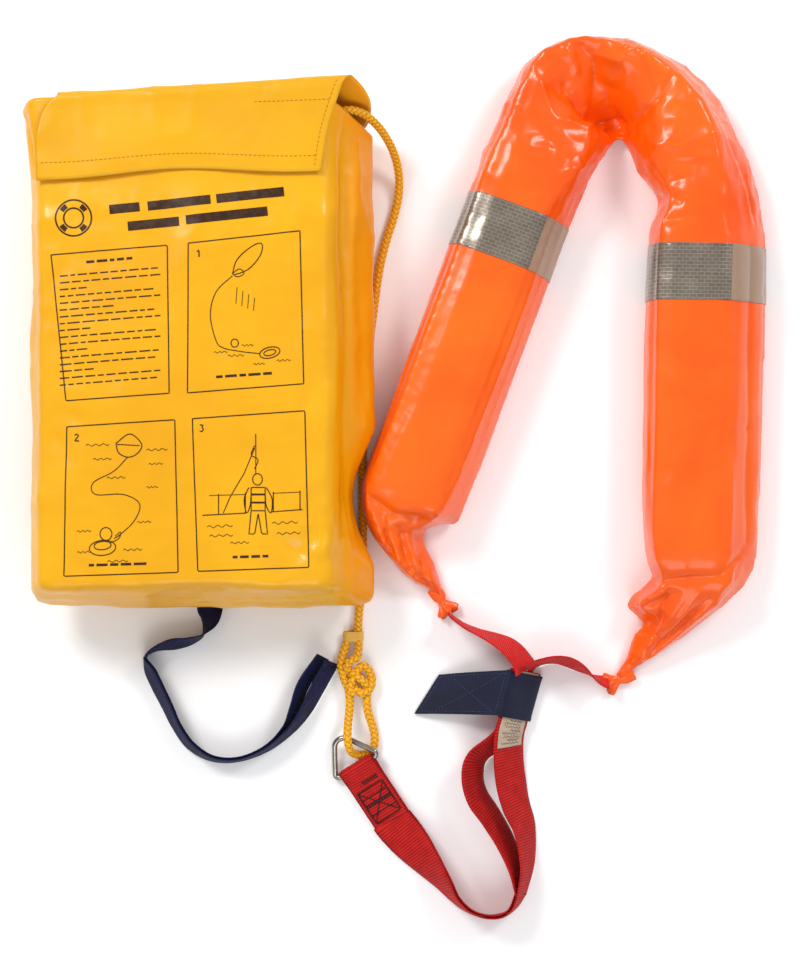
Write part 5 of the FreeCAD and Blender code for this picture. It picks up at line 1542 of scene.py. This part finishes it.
# x, y of both ends, width, depth: the pinched bend first, then the gathered ends and the arms
slingCreases = [
    (364, 206, 360, 216, 8, 10), (360, 216, 335, 222, 7, 15), (335, 222, 317, 238, 6, 10),
    (317, 238, 312, 250, 5, 4), (368, 206, 393, 231, 5, 6), (393, 231, 410, 258, 4, 4),
    (352, 217, 341, 231, 5, 7), (341, 231, 338, 265, 4, 4), (282, 264, 301, 217, 3.5, -2.6),
    (310, 279, 321, 262, 3.5, -3.0), (321, 262, 321, 252, 3.5, -2.4), (338, 272, 368, 265, 3.5, -2.4),
    (304, 214, 332, 207, 4, -3.2), (332, 207, 340, 214, 4, -3.0), (310, 166, 332, 173, 4, -2.6),
    (332, 173, 345, 183, 4, -2.6), (290, 200, 312, 178, 7, 2.6), (379, 194, 410, 187, 4, -2.0),
    (410, 187, 441, 200, 5, -2.2), (441, 200, 448, 166, 4, -2.2), (400, 176, 430, 172, 9, 3.0),
    (384, 170, 398, 158, 6, 4), (398, 158, 420, 160, 6, 2.4), (392, 150, 412, 140, 4, 4),
    (300, 250, 312, 232, 8, 3.4), (345, 250, 365, 238, 8, 3.6), (380, 262, 388, 240, 6, 2.6),
    (404, 232, 420, 214, 8, 2.4), (262, 236, 280, 214, 9, 2.0), (392, 122, 430, 128, 5, 2.6),
    (406, 262, 448, 214, 2.6, -2.4), (448, 214, 468, 163, 2.6, -2.4), (468, 163, 478, 122, 2.6, -2.2),
    (412, 256, 452, 212, 2.4, 2.2), (452, 212, 472, 163, 2.4, 2.2), (472, 163, 482, 122, 2.4, 2.0),
    (134, -118, 160, -138, 5, 6), (160, -138, 206, -146, 5, 7), (150, -140, 160, -180, 4, 8),
    (166, -150, 176, -186, 3.6, 7), (140, -150, 168, -190, 3.6, -3), (180, -156, 190, -190, 3.6, 6),
    (196, -150, 222, -142, 4, 4), (176, -186, 199, -208, 3, 4), (164, -184, 196, -207, 3, 3),
    (154, -150, 166, -176, 2.6, -3), (172, -158, 184, -188, 2.6, -3),
    (392, -196, 450, -192, 6, 6), (378, -222, 410, -208, 5, 6), (388, -236, 400, -252, 4.5, 5),
    (450, -190, 470, -170, 6, 4), (470, -206, 400, -262, 4, 6), (440, -212, 392, -262, 4, 6),
    (416, -214, 384, -262, 4, -3.4), (400, -262, 368, -284, 3.2, 4), (388, -258, 366, -282, 3, 3),
    (430, -206, 408, -240, 2.8, -3), (404, -204, 396, -236, 3, 5), (460, -200, 420, -246, 3, -2.6),
    (458, -60, 458, 110, 2.6, -1.6), (457, -160, 458, -60, 2.6, -1.6), (476, -60, 477, 100, 2.6, 2.4),
    (475, -160, 476, -60, 2.6, 2.4), (223, -118, 292, 72, 2.6, -1.6), (292, 72, 322, 150, 2.6, -1.6),
    (240, 100, 300, 84, 14, -1.0), (180, -60, 240, -80, 16, -1.2), (400, -20, 440, -24, 16, -1.2)]


def padWithCloth(piece, part=sling):
    # voxel remesh, pressure for some frames, then no point further out than the cap
    remesh = piece.modifiers.new("remesh", "REMESH")
    remesh.mode = "VOXEL"
    remesh.voxel_size = part["voxel"] * mm
    finishedMesh(piece)
    before = getPoints(piece.data)
    cloth = piece.modifiers.new("cloth", "CLOTH")
    settings = cloth.settings
    settings.use_pressure = True
    settings.uniform_pressure_force = part["pressure"]
    settings.effector_weights.gravity = 0.0
    settings.quality = 5
    cloth.point_cache.frame_start = 1
    cloth.point_cache.frame_end = part["frames"]
    for number in range(1, part["frames"] + 1):
        scene.frame_set(number)
    after = getPoints(piece.evaluated_get(bpy.context.evaluated_depsgraph_get()).data)
    piece.modifiers.clear()
    scene.frame_set(1)
    move = after - before
    size = np.linalg.norm(move, axis=1, keepdims=True)
    setPoints(piece.data, before + move * np.minimum(1, part["cap"] * mm / np.maximum(size, 1e-9)))


slingGrid = slingSurface()
slingCover = closedTube("slingCover", slingGrid, paint["sling"])
padWithCloth(slingCover)
finer = slingCover.modifiers.new("finer", "SUBSURF")
finer.levels = 1
finer.render_levels = 1
finishedMesh(slingCover)
coverPoints = getPoints(slingCover.data) / mm
coverNormals = getNormals(slingCover.data)
topShare = easeStep(0.15, 0.75, coverNormals[:, 2])
raised = easeStep(2, 14, coverPoints[:, 2])
crownShare = easeStep(120, 170, coverPoints[:, 1])
onRight = coverPoints[:, 0] > 300
tailShare = easeStep(-168, -196, coverPoints[:, 1]) * onRight + easeStep(-140, -160,
                                                                         coverPoints[:, 1]) * ~onRight
depth = creaseDepth(coverPoints, slingCreases, sling["sharp"]) * np.maximum(topShare, 0.25)
wrinkle = (foldNoise(coverPoints, 42, 91, 2.4) - 0.4) * (0.5 + 2.6 * crownShare + 2.0 * tailShare)
wrinkle += (foldNoise(coverPoints, 17, 93, 2.2) - 0.4) * (0.1 + 1.0 * crownShare + 0.9 * tailShare)
wrinkle += 1.6 * (latticeNoise(coverPoints, 70, 95) - 0.5)
coverPoints += coverNormals * ((wrinkle - depth) * raised)[:, None]
coverPoints[:, 2] = np.maximum(coverPoints[:, 2], sling["floor"])
setPoints(slingCover.data, coverPoints * mm)
shadeFaces(slingCover.data)
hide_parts("cover_left_arm", "cover_right_arm", "cover_crown", "gathered_tail_left",
            "gathered_tail_right", "foam_left", "foam_right", "foam_crown")
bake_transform(slingCover)
print("sling", len(coverPoints), "points")

# reflective bands: the cover between two planes, lifted and given a wall
bands = {"wall": 0.35, "lift": 0.35, "floor": 3.0,
         "left": {"corner": (130.4, -114.6), "heading": 69.6, "start": 234.0, "width": 50.0,
                  "ridge": (266.4, 47.2), "edgeSide": 1, "past": 350.0, "keep": -1},
         "right": {"corner": (389.5, 106.0), "heading": -91.2, "start": 2.0, "width": 50.0,
                   "ridge": (457.3, 50.0), "edgeSide": -1, "past": 370.0, "keep": 1}}


def bandPiece(name, part, material):
    # keeps the faces whose distance along the arm lies between the band's edges
    work = bmesh.new()
    work.from_mesh(slingCover.data)
    turn = math.radians(part["heading"])
    along = (math.cos(turn), math.sin(turn), 0)
    for distance, outer, inner in ((part["start"], False, True),
                                   (part["start"] + part["width"], True, False)):
        spot = (np.array([*part["corner"], 0]) + np.array(along) * distance) * mm
        everything = work.verts[:] + work.edges[:] + work.faces[:]
        bmesh.ops.bisect_plane(work, geom=everything, plane_co=spot, plane_no=along, clear_outer=outer,
                               clear_inner=inner)
    # the side face past the ridge gets a lighter, warmer copy of the tape: painted light on that side face
    sideways = np.array([math.sin(turn), -math.cos(turn), 0]) * part["edgeSide"]
    ridge = np.array([*part["ridge"], 0]) * mm
    everything = work.verts[:] + work.edges[:] + work.faces[:]
    bmesh.ops.bisect_plane(work, geom=everything, plane_co=ridge, plane_no=sideways)
    middles = [(face, face.calc_center_median()) for face in work.faces]
    stray = [face for face, middle in middles
             if (middle.x - part["past"] * mm) * part["keep"] < 0
             or middle.z < bands["floor"] * mm or middle.y < 0]
    bmesh.ops.delete(work, geom=stray, context="FACES")
    mesh = bpy.data.meshes.new(name)
    work.to_mesh(mesh)
    work.free()
    mesh.materials.clear()
    mesh.materials.append(material)
    mesh.materials.append(paint["tapeLitSide"])
    piece = linkPiece(name, mesh)
    middles = np.empty(len(mesh.polygons) * 3, np.float32)
    mesh.polygons.foreach_get("center", middles)
    # faces past the ridge take slot 1, the painted light copy of the tape
    beyond = (middles.reshape(-1, 3)[:, :2] @ sideways[:2] - ridge @ sideways) > 0
    mesh.polygons.foreach_set("material_index", beyond.astype(np.int32))
    setPoints(mesh, getPoints(mesh) + getNormals(mesh) * bands["lift"] * mm)
    return thicken(piece, bands["wall"] * mm, 1.0)


bandLeft = bandPiece("bandLeft", bands["left"], paint["tapeLeft"])
bandRight = bandPiece("bandRight", bands["right"], paint["tapeRight"])
for piece, node, body in ((bandLeft, "reflective_band_left", "laid_kit"),
                          (bandRight, "reflective_band_right", "right_arm")):
    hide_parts(node)
    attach(piece, body)

# ties and frills at the gathered ends
ties = {"left": {"at": (203.2, -214.5, 6.6), "heading": -56, "body": "laid_kit", "node": "tail_tie_left"},
        "right": {"at": (366.0, -286.0, 6.6), "heading": -155, "body": "right_arm", "node": "tail_tie_right"}}


def tieSurface(part, rows=26, columns=48):
    # a gathered neck that flares to a frill, r from about 4 at the tie to 8.6, with 7 folds
    turn = math.radians(part["heading"])
    axis = np.array([math.cos(turn), math.sin(turn), 0])
    sideways = np.array([-axis[1], axis[0], 0])
    share = np.linspace(0, 1, rows)[:, None]
    angle = np.linspace(0, 2 * math.pi, columns, endpoint=False)[None, :]
    radius = 6.0 - 2.2 * np.exp(-((share - 0.55) / 0.12) ** 2) + 2.6 * easeStep(0.6, 1, share)
    folds = 1 + (0.1 + 0.22 * easeStep(0.55, 1, share)) * np.sin(7 * angle + 3 * share)
    r = radius * folds
    reach = -13 + 27 * share + 2.2 * np.sin(5 * angle) * easeStep(0.7, 1, share)
    points = (np.array(part["at"]) + reach[..., None] * axis + (r * np.cos(angle))[..., None] * sideways
              + (r * np.sin(angle) * 0.72)[..., None] * np.array([0, 0, 1.0]))
    points[..., 2] = np.maximum(points[..., 2], 0.5)
    return points


for key, part in ties.items():
    piece = closedTube(key + "Frill", tieSurface(part), paint["sling"])
    shadeFaces(piece.data)
    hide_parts(part["node"])
    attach(piece, part["body"])
print("bands and ties")
